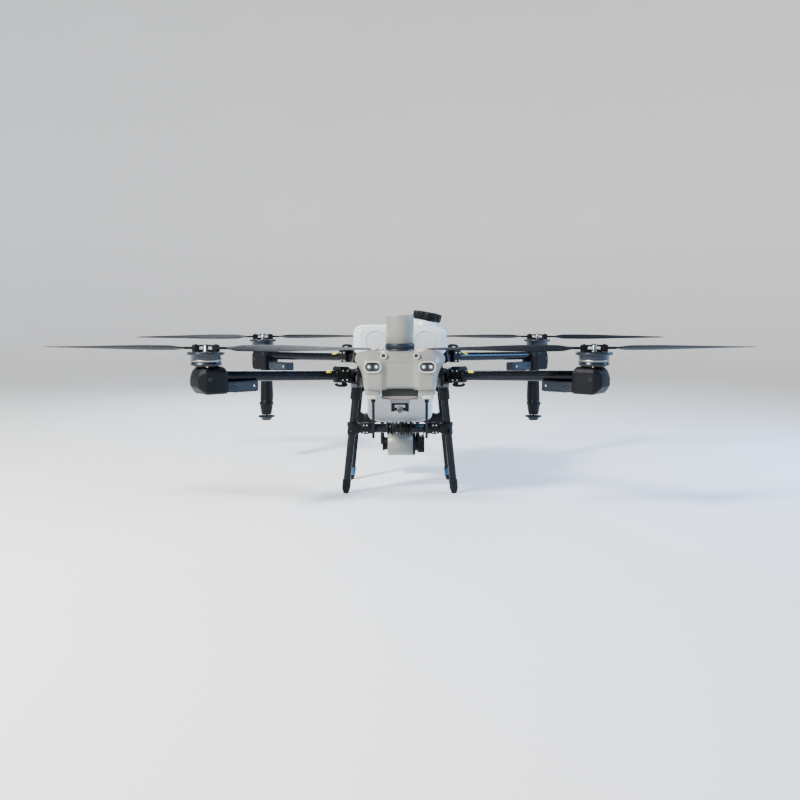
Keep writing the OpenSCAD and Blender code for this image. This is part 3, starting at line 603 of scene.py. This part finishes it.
def tank():
    """Translucent wall with its embossed rings, and the filler neck under the cap."""
    rings = []
    for z, w, d, r in TANK_RINGS:
        rings.append([(x, TANK_MID_Y + y, z * MM) for x, y in rounded(2 * w * MM, 2 * d * MM, r * MM, 6)])
    wall = add("tank_shell", loft(rings), tank_white, BODY, subdivide=1)
    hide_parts("tank")
    cap = joints["filler_cap_turn"]
    place = turn_to(cap["axis"], cap["pos_m"])
    neck = [(0.068, -0.05), (0.0635, -0.036), (0.0585, -0.022), (0.0565, -0.014), (0.055, -0.0125),
            (0.055, -0.0008), (0.0535, 0.0), (0.05, 0.0), (0.05, -0.05)]
    add("tank_neck", lathe(neck, place, 96), tank_white, BODY)
    for side, s in reversed(SIDES.items()):
        emboss = shift(s * 0.104, TANK_MID_Y - 0.1402, 0.648) @ turn(90, "X")
        ring = [(0.046, -0.002), (0.0465, 0.0004), (0.0435, 0.0007), (0.04, -0.0002), (0.039, -0.002)]
        add("tank_emboss_" + side, lathe(ring, emboss, 72), tank_white, BODY)


def cap():
    """Filler cap with grip lugs round its rim and three spokes on top."""
    joint = joints["filler_cap_turn"]
    place = turn_to(joint["axis"], joint["pos_m"])
    steps, lugs = 120, 12
    levels = [(-0.01, 0.0), (-0.009, 0.6), (0.0, 0.9), (0.016, 1.0), (0.0225, 0.85), (0.0255, 0.3)]
    rings = []
    for z, grip in levels:
        ring = []
        for k in range(steps):
            a = 2 * pi * k / steps
            lobe = max(0.0, cos(lugs * a)) ** 0.6
            r = 0.0565 + 0.0058 * lobe * grip
            ring.append((r * cos(a), r * sin(a), z))
        rings.append(ring)
    crown = [(0.053, 0.0262), (0.046, 0.0262), (0.0445, 0.0275), (0.04, 0.0278), (0.036, 0.025),
             (0.014, 0.0248), (0.012, 0.0272), (0.0, 0.0275)]
    rings += [circle(r, z, steps) for r, z in crown]
    lid = add("cap_body", loft(rings, place), part_black, "filler_cap")
    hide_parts("tank_cap")
    for k in range(3):
        spoke = turn(60 + 120 * k, "Z")
        bar = box_mesh((0.012, -0.003, 0.0245), (0.04, 0.003, 0.0278), place @ spoke)
        add(f"cap_spoke_{k}", bar, part_black, "filler_cap", bevel=0.001)


# ---------------------------------------------------------------- arms and rotors

TUBE_END_Z = {"front": 0.54, "rear": 0.545}


def along_arm(end, side):
    """Frame at the arm's hinge with X along the sloping arm tube."""
    hinge = Vector(joints[f"arm_fold_{end}_{side}"]["pos_m"])
    away = Vector(joints[f"rotor_spin_{end}_{side}"]["pos_m"]) - hinge
    slope = atan2(TUBE_END_Z[end] - hinge.z, hypot(away.x, away.y))
    heading = Matrix.Rotation(atan2(away.y, away.x), 4, "Z")
    return Matrix.Translation(hinge) @ heading @ Matrix.Rotation(-slope, 4, "Y")


def under_motor(end, side):
    """Upright frame on the motor's axis, at the floor's height, with X outwards along the arm."""
    motor = Vector(joints[f"rotor_spin_{end}_{side}"]["pos_m"])
    away = motor - Vector(joints[f"arm_fold_{end}_{side}"]["pos_m"])
    return shift(motor.x, motor.y, 0) @ Matrix.Rotation(atan2(away.y, away.x), 4, "Z")


# Distance outwards from the motor axis, half-width, bottom and top of the motor pod
POD_STATIONS = [(-66, 38, 477, 560), (-64, 42, 475.5, 564), (-58, 48, 475, 570), (-50, 52, 475, 574),
                (18, 52, 475, 574.5), (24, 51, 477, 573), (36, 43, 488, 568), (44, 37, 496, 560),
                (49, 33, 502, 550), (50, 32, 505, 545)]


def pod(end, side):
    """Motor pod with its speed controller, cooling fins, ports, lamps and screws, and the motor's stator."""
    name = f"{end}_{side}"
    body = "arm_" + name
    upright = under_motor(end, side)
    rings = []
    for x, w, low, high in POD_STATIONS:
        chamfer, t = 6, 15
        outline = [(w, low + chamfer), (w, high - 1.3 * t), (w - 0.35 * t, high - 0.55 * t),
                   (w - t, high - 0.12 * t), (w - 1.7 * t, high), (-w + 1.7 * t, high),
                   (-w + t, high - 0.12 * t), (-w + 0.35 * t, high - 0.55 * t), (-w, high - 1.3 * t),
                   (-w, low + chamfer), (-w + chamfer, low), (w - chamfer, low)]
        rings.append([(x * MM, y * MM, z * MM) for y, z in outline])
    shell = add("pod_shell_" + name, loft(rings, upright), pod_black, body, bevel=0.0025, angle=18)
    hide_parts("motor_pod_" + name)
    esc = prism(rounded(0.133, 0.056, 0.007, 4), 0.477, 0.517, upright @ shift(-0.1335, 0, 0))
    add("speed_control_" + name, esc, slate, body, bevel=0.0025)
    for k in range(8):
        x = -0.191 + 0.0125 * k
        fin = box_mesh((x, -0.0262, 0.4745), (x + 0.004, 0.0262, 0.4775), upright)
        add(f"cooling_fin_{name}_{k}", fin, slate, body, bevel=0.0008)
    for tag, s in (("b", -1), ("a", 1)):
        face = upright @ shift(-0.094, s * 0.0281, 0.497) @ turn(-90 * s, "X")
        rims = ((0.02, 0.012, 0, 0.006), (0.02, 0.012, 0.0012, 0.006), (0.016, 0.009, 0.0014, 0.0045),
                (0.015, 0.008, -0.001, 0.004))
        port = [[(x, y, z) for x, y in rounded(w, h, r, 6)] for w, h, z, r in rims]
        add(f"esc_port_{name}_{tag}", loft(port, face), part_black, body)
        panel = prism(rounded(0.118, 0.027, 0.004, 4), -0.002, 0.0004, face @ shift(-0.0405, 0, 0))
        add(f"esc_panel_{name}_{tag}", panel, slate_light, body, bevel=0.0005)
        dot = face @ shift(-0.086, 0, 0)
        led = lathe([(0, 0.0016), (0.002, 0.0014), (0.003, 0.0004), (0.003, -0.001)], dot, 20)
        add(f"status_led_{name}_{tag}", led, lamp_white, body)
        hole = upright @ shift(0.012, s * 0.0518, 0.532) @ turn(-90 * s, "X")
        rim = [(0.0068, -0.002), (0.0068, 0.0009), (0.0058, 0.0013), (0.0048, 0.0008), (0.0045, -0.0006),
               (0, -0.0008)]
        add(f"pod_hole_{name}_{tag}", lathe(rim, hole, 32), lens_glass, body)
    places = [upright @ Vector((x, s * 0.044, 0.5752)) for x in (-0.046, 0.018) for s in (-1, 1)]
    screw_row("pod_screws_" + name, places, (0, 0, 1), 0.0032, body)
    stator = [(0.008, 0.575), (0.044, 0.575), (0.044, 0.607), (0.03, 0.607), (0.0085, 0.605)]
    add("stator_" + name, lathe(stator, upright, 48), copper, body)


HUB_TURN = {"front": 8, "rear": -8}
PIN_REACH = 0.038
# Where the red tip starts, from the motor's axis
TIP_START = 0.615


def rotor(end, side):
    """Motor bell with its band, and the clamp hub that holds the blade pins."""
    name = f"{end}_{side}"
    body = "propeller_" + name
    upright = under_motor(end, side)
    bell = [(0.048, 0.579), (0.0545, 0.579), (0.0555, 0.58), (0.0555, 0.5865), (0.0546, 0.5872),
            (0.0546, 0.591), (0.054, 0.592), (0.054, 0.601), (0.0546, 0.602), (0.0555, 0.6032),
            (0.0555, 0.6125), (0.058, 0.6145), (0.0645, 0.6165), (0.067, 0.619), (0.067, 0.6255),
            (0.0658, 0.6275), (0.062, 0.628), (0.048, 0.6268), (0.03, 0.6268), (0.026, 0.628), (0, 0.628)]
    can = add("motor_bell_" + name, lathe(bell, upright, 96), motor_dark, body)
    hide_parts("rotor_" + name)
    band = [(0.053, 0.5936), (0.0546, 0.5938), (0.0551, 0.5944), (0.0551, 0.5996), (0.0546, 0.6002),
            (0.053, 0.6004)]
    add("motor_band_" + name, lathe(band, upright, 96), satin_metal, body)
    hub_angle = radians(HUB_TURN[end])
    if side == "right":
        hub_angle = pi - hub_angle
    motor = Vector(joints["rotor_spin_" + name]["pos_m"])
    hub = shift(motor.x, motor.y, 0) @ Matrix.Rotation(hub_angle, 4, "Z")
    waist = [(0.02, 0.0075), (0.01, 0.0062), (-0.01, 0.0062), (-0.02, 0.0075)]
    outline = arc(PIN_REACH, 0, 0.014, -110, 110, 12) + waist
    outline += arc(-PIN_REACH, 0, 0.014, 70, 290, 12) + [(-x, -y) for x, y in waist]
    for level, (low, high) in {"lower": (0.628, 0.6371), "upper": (0.6469, 0.6535)}.items():
        plate = prism(outline, low, high, hub)
        add(f"hub_plate_{level}_{name}", plate, part_black, body, bevel=0.0014)
    spacer = [(0, 0.6275), (0.0125, 0.6275), (0.0125, 0.6305), (0.0092, 0.632), (0.0092, 0.6515),
              (0.0082, 0.653), (0, 0.6535)]
    add("hub_spacer_" + name, lathe(spacer, hub, 48), satin_metal, body)
    nut = prism(arc(0, 0, 0.0105, 0, 300, 5), 0.6535, 0.6575, hub)
    add("hub_nut_" + name, nut, satin_metal, body, bevel=0.001)
    for tag, x in (("out", PIN_REACH), ("in", -PIN_REACH)):
        at = hub @ shift(x, 0, 0)
        pin = [(0, 0.6572), (0.0028, 0.657), (0.003, 0.6555), (0.0062, 0.6555), (0.0068, 0.6545),
               (0.0068, 0.6535), (0.005, 0.6533), (0.005, 0.63), (0, 0.63)]
        add(f"blade_pin_{tag}_{name}", lathe(pin, at, 32), motor_dark, body)


def blade_section(s):
    """Distance from the pin, chord, offset, pitch and thickness at a fraction of the blade's length."""
    if s < 0.12:
        chord = 26 + 46 * s / 0.12
    elif s < 0.62:
        chord = 72 + 18 * sin(pi * (s - 0.12) / 0.5)
    else:
        chord = 72 - 40 * ((s - 0.62) / 0.38) ** 1.6
    pitch = 16 * s / 0.1 if s < 0.1 else 16 - 11 * (s - 0.1) / 0.9
    root, length, narrowed = 24, 573, 0.98
    return root + length * s, narrowed * chord, 6 * sin(pi * s), pitch, 9 - 6 * s


def blade(end, side, which):
    """One folding blade: a twisted skin with a coloured tip, and its root collar."""
    name = f"{which}_{end}_{side}"
    body = "fold_blade_" + name
    pin = Vector(joints["blade_fold_" + name]["pos_m"])
    motor = Vector(joints[f"rotor_spin_{end}_{side}"]["pos_m"])
    direction = atan2(pin.y - motor.y, pin.x - motor.x)
    hand = ENDS[end] * SIDES[side]
    steps, count = 44, 28
    rings = []
    for i in range(steps + 1):
        s = i / steps
        x, chord, offset, pitch, thick = blade_section(s)
        if s > 0.955:
            chord *= sqrt(max(0.02, 1 - ((s - 0.955) / 0.0455) ** 2))
        twist = radians(pitch)
        ring = []
        for k in range(count):
            a = 2 * pi * k / count
            y = chord / 2 * cos(a)
            z = thick / 2 * sin(a) * (0.62 + 0.38 * cos(a * 0.5) ** 2)
            across = y * cos(twist) - z * sin(twist) + offset
            ring.append((x * MM, hand * across * MM, (y * sin(twist) + z * cos(twist)) * MM))
        rings.append(ring)
    place = Matrix.Translation(pin) @ Matrix.Rotation(direction, 4, "Z")
    skin = loft(rings, place)
    piece = add("blade_skin_" + name, skin, blade_skin, body)
    skin.materials.append(blade_tip)
    for face in skin.polygons:
        if (face.center.xy - motor.xy).length > TIP_START:
            face.material_index = 1
    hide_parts("blade_" + name)
    root = arc(0, 0, 0.0138, 90, 270, 14) + [(0.034, -0.0118), (0.044, -0.01), (0.044, 0.01),
                                             (0.034, 0.0118)]
    collar = prism(root, -0.0045, 0.0045, place)
    add("blade_root_" + name, collar, part_black, body, bevel=0.0009)


def arm_trim(end, side):
    """Plain label, collar and clamp screws at the arm's root."""
    name = f"{end}_{side}"
    body = "arm_" + name
    along = along_arm(end, side)
    edge = ((0, 0.0199), (0.0003, 0.0204), (0.0237, 0.0204), (0.024, 0.0199))
    patch = []
    for k in range(17):
        a = radians(34 + 112 * k / 16)
        lean = 0.012 * abs(1 - k / 8)
        patch.append([(0.098 + x + lean, r * cos(a), r * sin(a)) for x, r in edge])
    add("arm_label_" + name, loft(patch, along), label_yellow, body)
    ring = [(0.02, 0), (0.0228, 0.001), (0.0236, 0.003), (0.0236, 0.0075), (0.0228, 0.0095),
            (0.02, 0.0105)]
    turned = along @ shift(0.0745, 0, 0) @ turn(90, "Y")
    add("arm_collar_" + name, lathe(ring, turned, 64), part_black, body)
    places = [along @ Vector((x, s * 0.0292, z)) for x in (0.041, 0.063) for s in (-1, 1)
              for z in (-0.017, 0.02)]
    for tag, s in (("b", -1), ("a", 1)):
        row = [p for i, p in enumerate(places) if (i // 2) % 2 == (0 if s < 0 else 1)]
        out = (along.to_3x3() @ Vector((0, s, 0))).normalized()
        screw_row(f"clamp_screws_{name}_{tag}", row, out, 0.0035, body)


def lever(end, side):
    """Curled handle that locks the arm: above the clamp block at the rear, below it at the front."""
    name = f"{end}_{side}"
    body = "lever_" + name
    along = along_arm(end, side)
    up, face, top = (1, 0.0405, 0.06) if end == "rear" else (-1, 0.0295, 0.048)
    boss = [(0, face - 0.02), (0.0044, face - 0.02), (0.0044, face), (0.0069, face), (0.0069, face + 0.006),
            (0.0058, face + 0.0075), (0, face + 0.0078)]
    at = along @ shift(0.038, 0, 0) @ Matrix.Scale(up, 4, (0, 0, 1))
    add("lever_boss_" + name, lathe(boss, at, 40), part_black, body)
    route = [(0.001, face + 0.004), (-0.008, face + 0.005), (-0.0135, face + 0.009), (-0.0125, top - 0.0085),
             (-0.005, top - 0.0058), (0.01, top - 0.0056), (0.023, top - 0.006), (0.032, top - 0.0085),
             (0.0375, top - 0.0135)]
    hook = add("lever_hook_" + name, sweep(route, rounded(0.0135, 0.0108, 0.0042, 3), at), part_black, body)
    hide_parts("lock_lever_" + name)


# ---------------------------------------------------------------- sprinklers


def sprinkler(side):
    """Ribbed lance with its hose, and the finned disc that spins below it."""
    s = SIDES[side]
    body = "arm_rear_" + side
    joint = joints["disc_spin_" + side]
    at = shift(joint["pos_m"][0], joint["pos_m"][1], 0)
    lance = [(0, 0.475), (0.024, 0.475), (0.025, 0.472), (0.025, 0.464), (0.0236, 0.46), (0.0242, 0.44),
             (0.0262, 0.39), (0.0285, 0.345), (0.0298, 0.32), (0.03, 0.3085), (0.0352, 0.307),
             (0.036, 0.3055), (0.036, 0.2945), (0.035, 0.293), (0.0328, 0.2925), (0.0318, 0.284),
             (0.0285, 0.262), (0.0262, 0.25), (0.0252, 0.246), (0.0235, 0.2435), (0.0042, 0.2435)]
    body_piece = add("lance_" + side, lathe(lance, at, 64), part_black, body)
    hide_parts("sprinkler_" + side)
    for k in range(8):
        rib = at @ turn(22.5 + 45 * k, "Z")
        bar = prism([(0.028, 0.313), (0.0311, 0.318), (0.0253, 0.45), (0.022, 0.462)], -0.0019, 0.0019,
                    rib @ turn(90, "X"))
        add(f"lance_rib_{side}_{k}", bar, part_black, body, bevel=0.0006)
    bends = [(38, 475), (38.5, 464), (43, 440), (47, 412), (49, 384), (50, 350), (49, 326), (46, 310),
             (41.5, 302), (36.3, 300)]
    route = [(at.translation.x - s * r * MM * sqrt(0.5), at.translation.y - r * MM * sqrt(0.5), z * MM)
             for r, z in bends]
    hose = tube("lance_hose_" + side, route, 0.005, rubber, body)
    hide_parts("sprinkler_hose_" + side)
    spin = "sprinkler_disc_" + side
    disc = [(0.004, 0.2595), (0.004, 0.2365), (0.01, 0.236), (0.036, 0.235), (0.0425, 0.2335),
            (0.0425, 0.2305), (0.034, 0.2292), (0.0305, 0.228), (0.022, 0.2135), (0.019, 0.213), (0, 0.213)]
    plate = add("disc_plate_" + side, lathe(disc, at, 96), slate, spin)
    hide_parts("spray_disc_" + side)
    bm = bmesh.new()
    for k in range(24):
        fin = box_mesh((0.012, -0.0005, 0.2346), (0.0415, 0.0005, 0.2372), at @ turn(15 * k, "Z"))
        bm.from_mesh(fin)
        bpy.data.meshes.remove(fin)
    fins = bpy.data.meshes.new("disc_fins")
    bm.to_mesh(fins)
    bm.free()
    add("disc_fins_" + side, fins, slate, spin, smooth=False)


# ---------------------------------------------------------------- landing gear

CROSS_TUBE_Z = 0.282


def cross_box(end):
    """Low and high corner of the box round one cross tube and its clamps."""
    corners = [v.co for v in frame["nodes"]["cross_tubes"].data.vertices if v.co.y * ENDS[end] > 0]
    low = Vector(min(c[i] for c in corners) for i in range(3))
    high = Vector(max(c[i] for c in corners) for i in range(3))
    return low, high


def cross_tube(end):
    """Carbon tube between the legs with a bolted clamp at each end."""
    low, high = cross_box(end)
    y, z = (low.y + high.y) / 2, CROSS_TUBE_Z
    lie = shift(0, y, z) @ turn(90, "Y")
    shaft = [(0, -0.119), (0.0195, -0.119), (0.0195, 0.119), (0, 0.119)]
    piece = add("cross_tube_" + end, lathe(shaft, lie, 64), carbon, BODY)
    if end == "front":
        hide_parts("cross_tubes")
    reach = high.x - 0.026
    for side, s in SIDES.items():
        flip = shift(0, y, z) @ Matrix.Scale(s, 4, (1, 0, 0))
        sleeve = [(0.02, 0.112), (0.0232, 0.1125), (0.0238, 0.115), (0.0238, 0.16), (0.0228, 0.164),
                  (0.0205, 0.166)]
        turned = flip @ turn(90, "Y")
        add(f"clamp_sleeve_{end}_{side}", lathe(sleeve, turned, 48), part_black, BODY)
        stations = [(0.128, 0.022, 0.0195), (0.134, 0.0238, 0.0235), (0.15, 0.0238, 0.0235),
                    (0.168, 0.02, 0.017), (reach - 0.034, 0.019, 0.016), (reach - 0.02, 0.0236, 0.0252),
                    (reach, 0.0236, 0.0256)]
        rings = [[(x, w, h) for w, h in rounded(2 * a, 2 * b, 0.006, 3)] for x, a, b in stations]
        add(f"clamp_arm_{end}_{side}", loft(rings, flip), part_black, BODY, bevel=0.0012)
        band = [(0.0162, -0.0258), (0.0232, -0.0258), (0.0238, -0.024), (0.0238, -0.009), (0.0222, -0.008),
                (0.0222, 0.008), (0.0238, 0.009), (0.0238, 0.024), (0.0232, 0.0258), (0.0162, 0.0258)]
        round_leg = shift(s * reach, y, z)
        add(f"clamp_band_{end}_{side}", lathe(band, round_leg, 48), part_black, BODY)
        face = -0.0238 if end == "front" else 0.0238
        places = [(s * x, y + face, z + dz) for x in (0.139, 0.152) for dz in (-0.015, 0.015)]
        screw_row(f"clamp_bolts_{end}_{side}", places, (0, face, 0), 0.0034, BODY)


def wound_cable():
    """Radar cable taped in loose turns round the front cross tube, with a tie every few turns."""
    low, high = cross_box("front")
    y, z = (low.y + high.y) / 2, CROSS_TUBE_Z
    turns = 8
    route = []
    for k in range(97):
        t = k / 96
        a = 2 * pi * turns * t
        r = 0.0232 + 0.0016 * sin(5.3 * a) + 0.0014 * sin(2.1 * a + 1)
        route.append((-0.06 + 0.112 * t + 0.003 * sin(1.7 * a), y + r * cos(a), z + r * sin(a)))
    tube("wound_cable", route, 0.0031, rubber, BODY, 3)
    for k, x in enumerate((-0.052, -0.03, 0.004, 0.028, 0.047)):
        lie = shift(x, y, z) @ turn(90, "Y")
        ring = [(0.0262, -0.0022), (0.0284, -0.0022), (0.0289, 0), (0.0284, 0.0022), (0.0262, 0.0022)]
        add(f"cable_tie_{k}", lathe(ring, lie, 40), rubber, BODY)
        knot = box_mesh((-0.003, -0.003, 0.026), (0.003, 0.003, 0.0325),
                        shift(x, y, z) @ turn(140 + 45 * k, "X"))
        add(f"tie_lock_{k}", knot, rubber, BODY, bevel=0.0008)


def legs():
    """Rounded boots, and blue patches inside the rear ones, painted as a reflection."""
    axes = {"front": ((0.177, -0.182, 0.5), (0.231, -0.151, 0.014)),
            "rear": ((0.177, 0.196, 0.5), (0.225, 0.151, 0.014))}
    first = None
    for end, (upper, lower) in axes.items():
        for side, s in SIDES.items():
            top, foot = Vector(upper), Vector(lower)
            top.x *= s
            foot.x *= s
            at = foot + (top - foot) * (0.018 - foot.z) / (top.z - foot.z)
            place = turn_to(top - foot, at)
            boot = [(0, -0.0165), (0.006, -0.016), (0.011, -0.0125), (0.0148, -0.007), (0.0172, 0.001),
                    (0.0178, 0.01), (0.018, 0.034), (0.018, 0.04), (0.0168, 0.0425), (0.0157, 0.0425)]
            piece = add(f"leg_boot_{end}_{side}", lathe(boot, place, 48), rubber, BODY)
            pad = lathe([(0, 0.0), (0.0095, 0.0), (0.011, 0.0012), (0.0125, 0.006), (0, 0.006)],
                        shift(at.x, at.y, 0), 40)
            add(f"boot_pad_{end}_{side}", pad, rubber, BODY)
            first = first or piece
            # The blue strip on the inner side of each rear boot is a painted reflection
            if end == "rear":
                inward = degrees(atan2(-1, -s))
                edge = ((0.0175, 0.004), (0.0184, 0.0045), (0.0184, 0.0385), (0.0175, 0.039))
                strip = []
                for k in range(9):
                    a = radians(inward - 52 + 13 * k)
                    strip.append([(r * cos(a), r * sin(a), z) for r, z in edge])
                patch = loft(strip, Matrix.Translation(at))
                add("boot_painted_reflection_" + side, patch, painted_reflection_blue, BODY)
    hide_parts("leg_feet")


# ---------------------------------------------------------------- carried-over CAD nodes

CAD_LOOKS = {
    "centre_frame": carbon, "hinge_brackets": part_black, "hinge_pins": bare_metal, "rear_deck": shell_grey,
    "fpv_bracket": part_black, "antenna_rods": rubber, "leg_tubes": carbon, "leg_collars": part_black,
    "radar_mount": part_black, "radar_cable": rubber,
    "tank_strainer": bare_metal, "battery": slate, "flight_controller": slate, "pumps": part_black,
    "liquid_hoses": rubber,
}
for arm_end, arm_side in ARMS:
    CAD_LOOKS[f"arm_tube_{arm_end}_{arm_side}"] = carbon
    CAD_LOOKS[f"knuckle_{arm_end}_{arm_side}"] = part_black


def dress_nodes():
    """Materials and softened edges for the nodes that stay as the CAD made them."""
    for node, material in CAD_LOOKS.items():
        piece = frame["nodes"][node]
        piece.data.materials.clear()
        piece.data.materials.append(material)
        if node not in ("radar_cable", "liquid_hoses"):
            edge = piece.modifiers.new("edges", "BEVEL")
            edge.width = 0.0009
            edge.segments = 2
            edge.limit_method = "ANGLE"
            edge.angle_limit = radians(35)
            edge.harden_normals = True


def deck_trim():
    """Louvres, hatch, tail lamps and seams on the rear deck."""
    for k in range(6):
        z = 0.496 + 0.012 * k
        louvre = box_mesh((-0.062, 0.418, z), (0.062, 0.4207, z + 0.0045))
        add(f"deck_louvre_{k}", louvre, shell_dark, BODY, bevel=0.0006)
    hatch_at = shift(0, 0.353, 0)
    seam = prism(rounded(0.17, 0.086, 0.014, 6), 0.5985, 0.6005, hatch_at)
    add("hatch_seam", seam, shell_dark, BODY, bevel=0.0004)
    hatch = prism(rounded(0.165, 0.081, 0.012, 6), 0.5985, 0.6022, hatch_at)
    add("hatch", hatch, shell_grey, BODY, bevel=0.0012)
    places = [(x, y, 0.6022) for x in (-0.072, 0.072) for y in (0.3225, 0.3835)]
    screw_row("hatch_screws", places, (0, 0, 1), 0.0032, BODY)
    for side, s in SIDES.items():
        tail = shift(s * 0.092, 0.4195, 0.563) @ turn(-90, "X")
        ring = [(0.0088, 0.0016), (0.0096, 0.0024), (0.0108, 0.0024), (0.0116, 0.0014), (0.0116, -0.002)]
        add("tail_ring_" + side, lathe(ring, tail, 40), pale_rim, BODY)
        dome = [(0, 0.0036), (0.0045, 0.0031), (0.0078, 0.0018), (0.009, 0.0002), (0.009, -0.002)]
        add("tail_lamp_" + side, lathe(dome, tail, 40), lens_glass, BODY)
        groove = box_mesh((s * 0.1374, 0.216, 0.534), (s * 0.1385, 0.388, 0.5362))
        add("deck_seam_" + side, groove, shell_dark, BODY, bevel=0.0003)


def battery_trim():
    """Grip ribs, a latch and a row of charge lamps on the battery."""
    body = "battery_pack"
    for k in range(5):
        z = 0.612 + 0.011 * k
        for side, s in SIDES.items():
            rib = box_mesh((s * 0.0705, 0.202, z), (s * 0.0731, 0.27, z + 0.0048))
            add(f"battery_rib_{side}_{k}", rib, slate, body, bevel=0.0009)
    back = shift(0, 0.2828, 0.64) @ turn(-90, "X")
    add("battery_panel", prism(rounded(0.108, 0.05, 0.006, 5), -0.002, 0.001, back), slate_light, body,
        bevel=0.0005)
    latch = prism(rounded(0.034, 0.015, 0.004, 5), 0.0, 0.0024, back)
    add("battery_latch", latch, part_black, body, bevel=0.0009)
    for k in range(4):
        lamp = lathe([(0, 0.001), (0.0016, 0.0008), (0.0022, 0.0002), (0.0022, -0.001)],
                     shift(-0.012 + 0.008 * k, 0.272, 0.676), 16)
        add(f"charge_lamp_{k}", lamp, lamp_white, body)


def grey_sockets():
    """The blocks that hold the front leg tops are grey, unlike the collars below them."""
    mesh = frame["nodes"]["leg_collars"].data
    mesh.materials.append(shell_shade)
    for face in mesh.polygons:
        if face.center.y < 0 and face.center.z > 0.4575:
            face.material_index = 1


stage()
camera()
lights()
nose()
chin()
radars()
fpv()
tank()
cap()
for arm_end, arm_side in ARMS:
    pod(arm_end, arm_side)
    rotor(arm_end, arm_side)
    arm_trim(arm_end, arm_side)
    lever(arm_end, arm_side)
    for blade_name in ("out", "in"):
        blade(arm_end, arm_side, blade_name)
for disc_side in SIDES:
    sprinkler(disc_side)
for leg_end in ENDS:
    cross_tube(leg_end)
wound_cable()
legs()
deck_trim()
battery_trim()
dress_nodes()
grey_sockets()
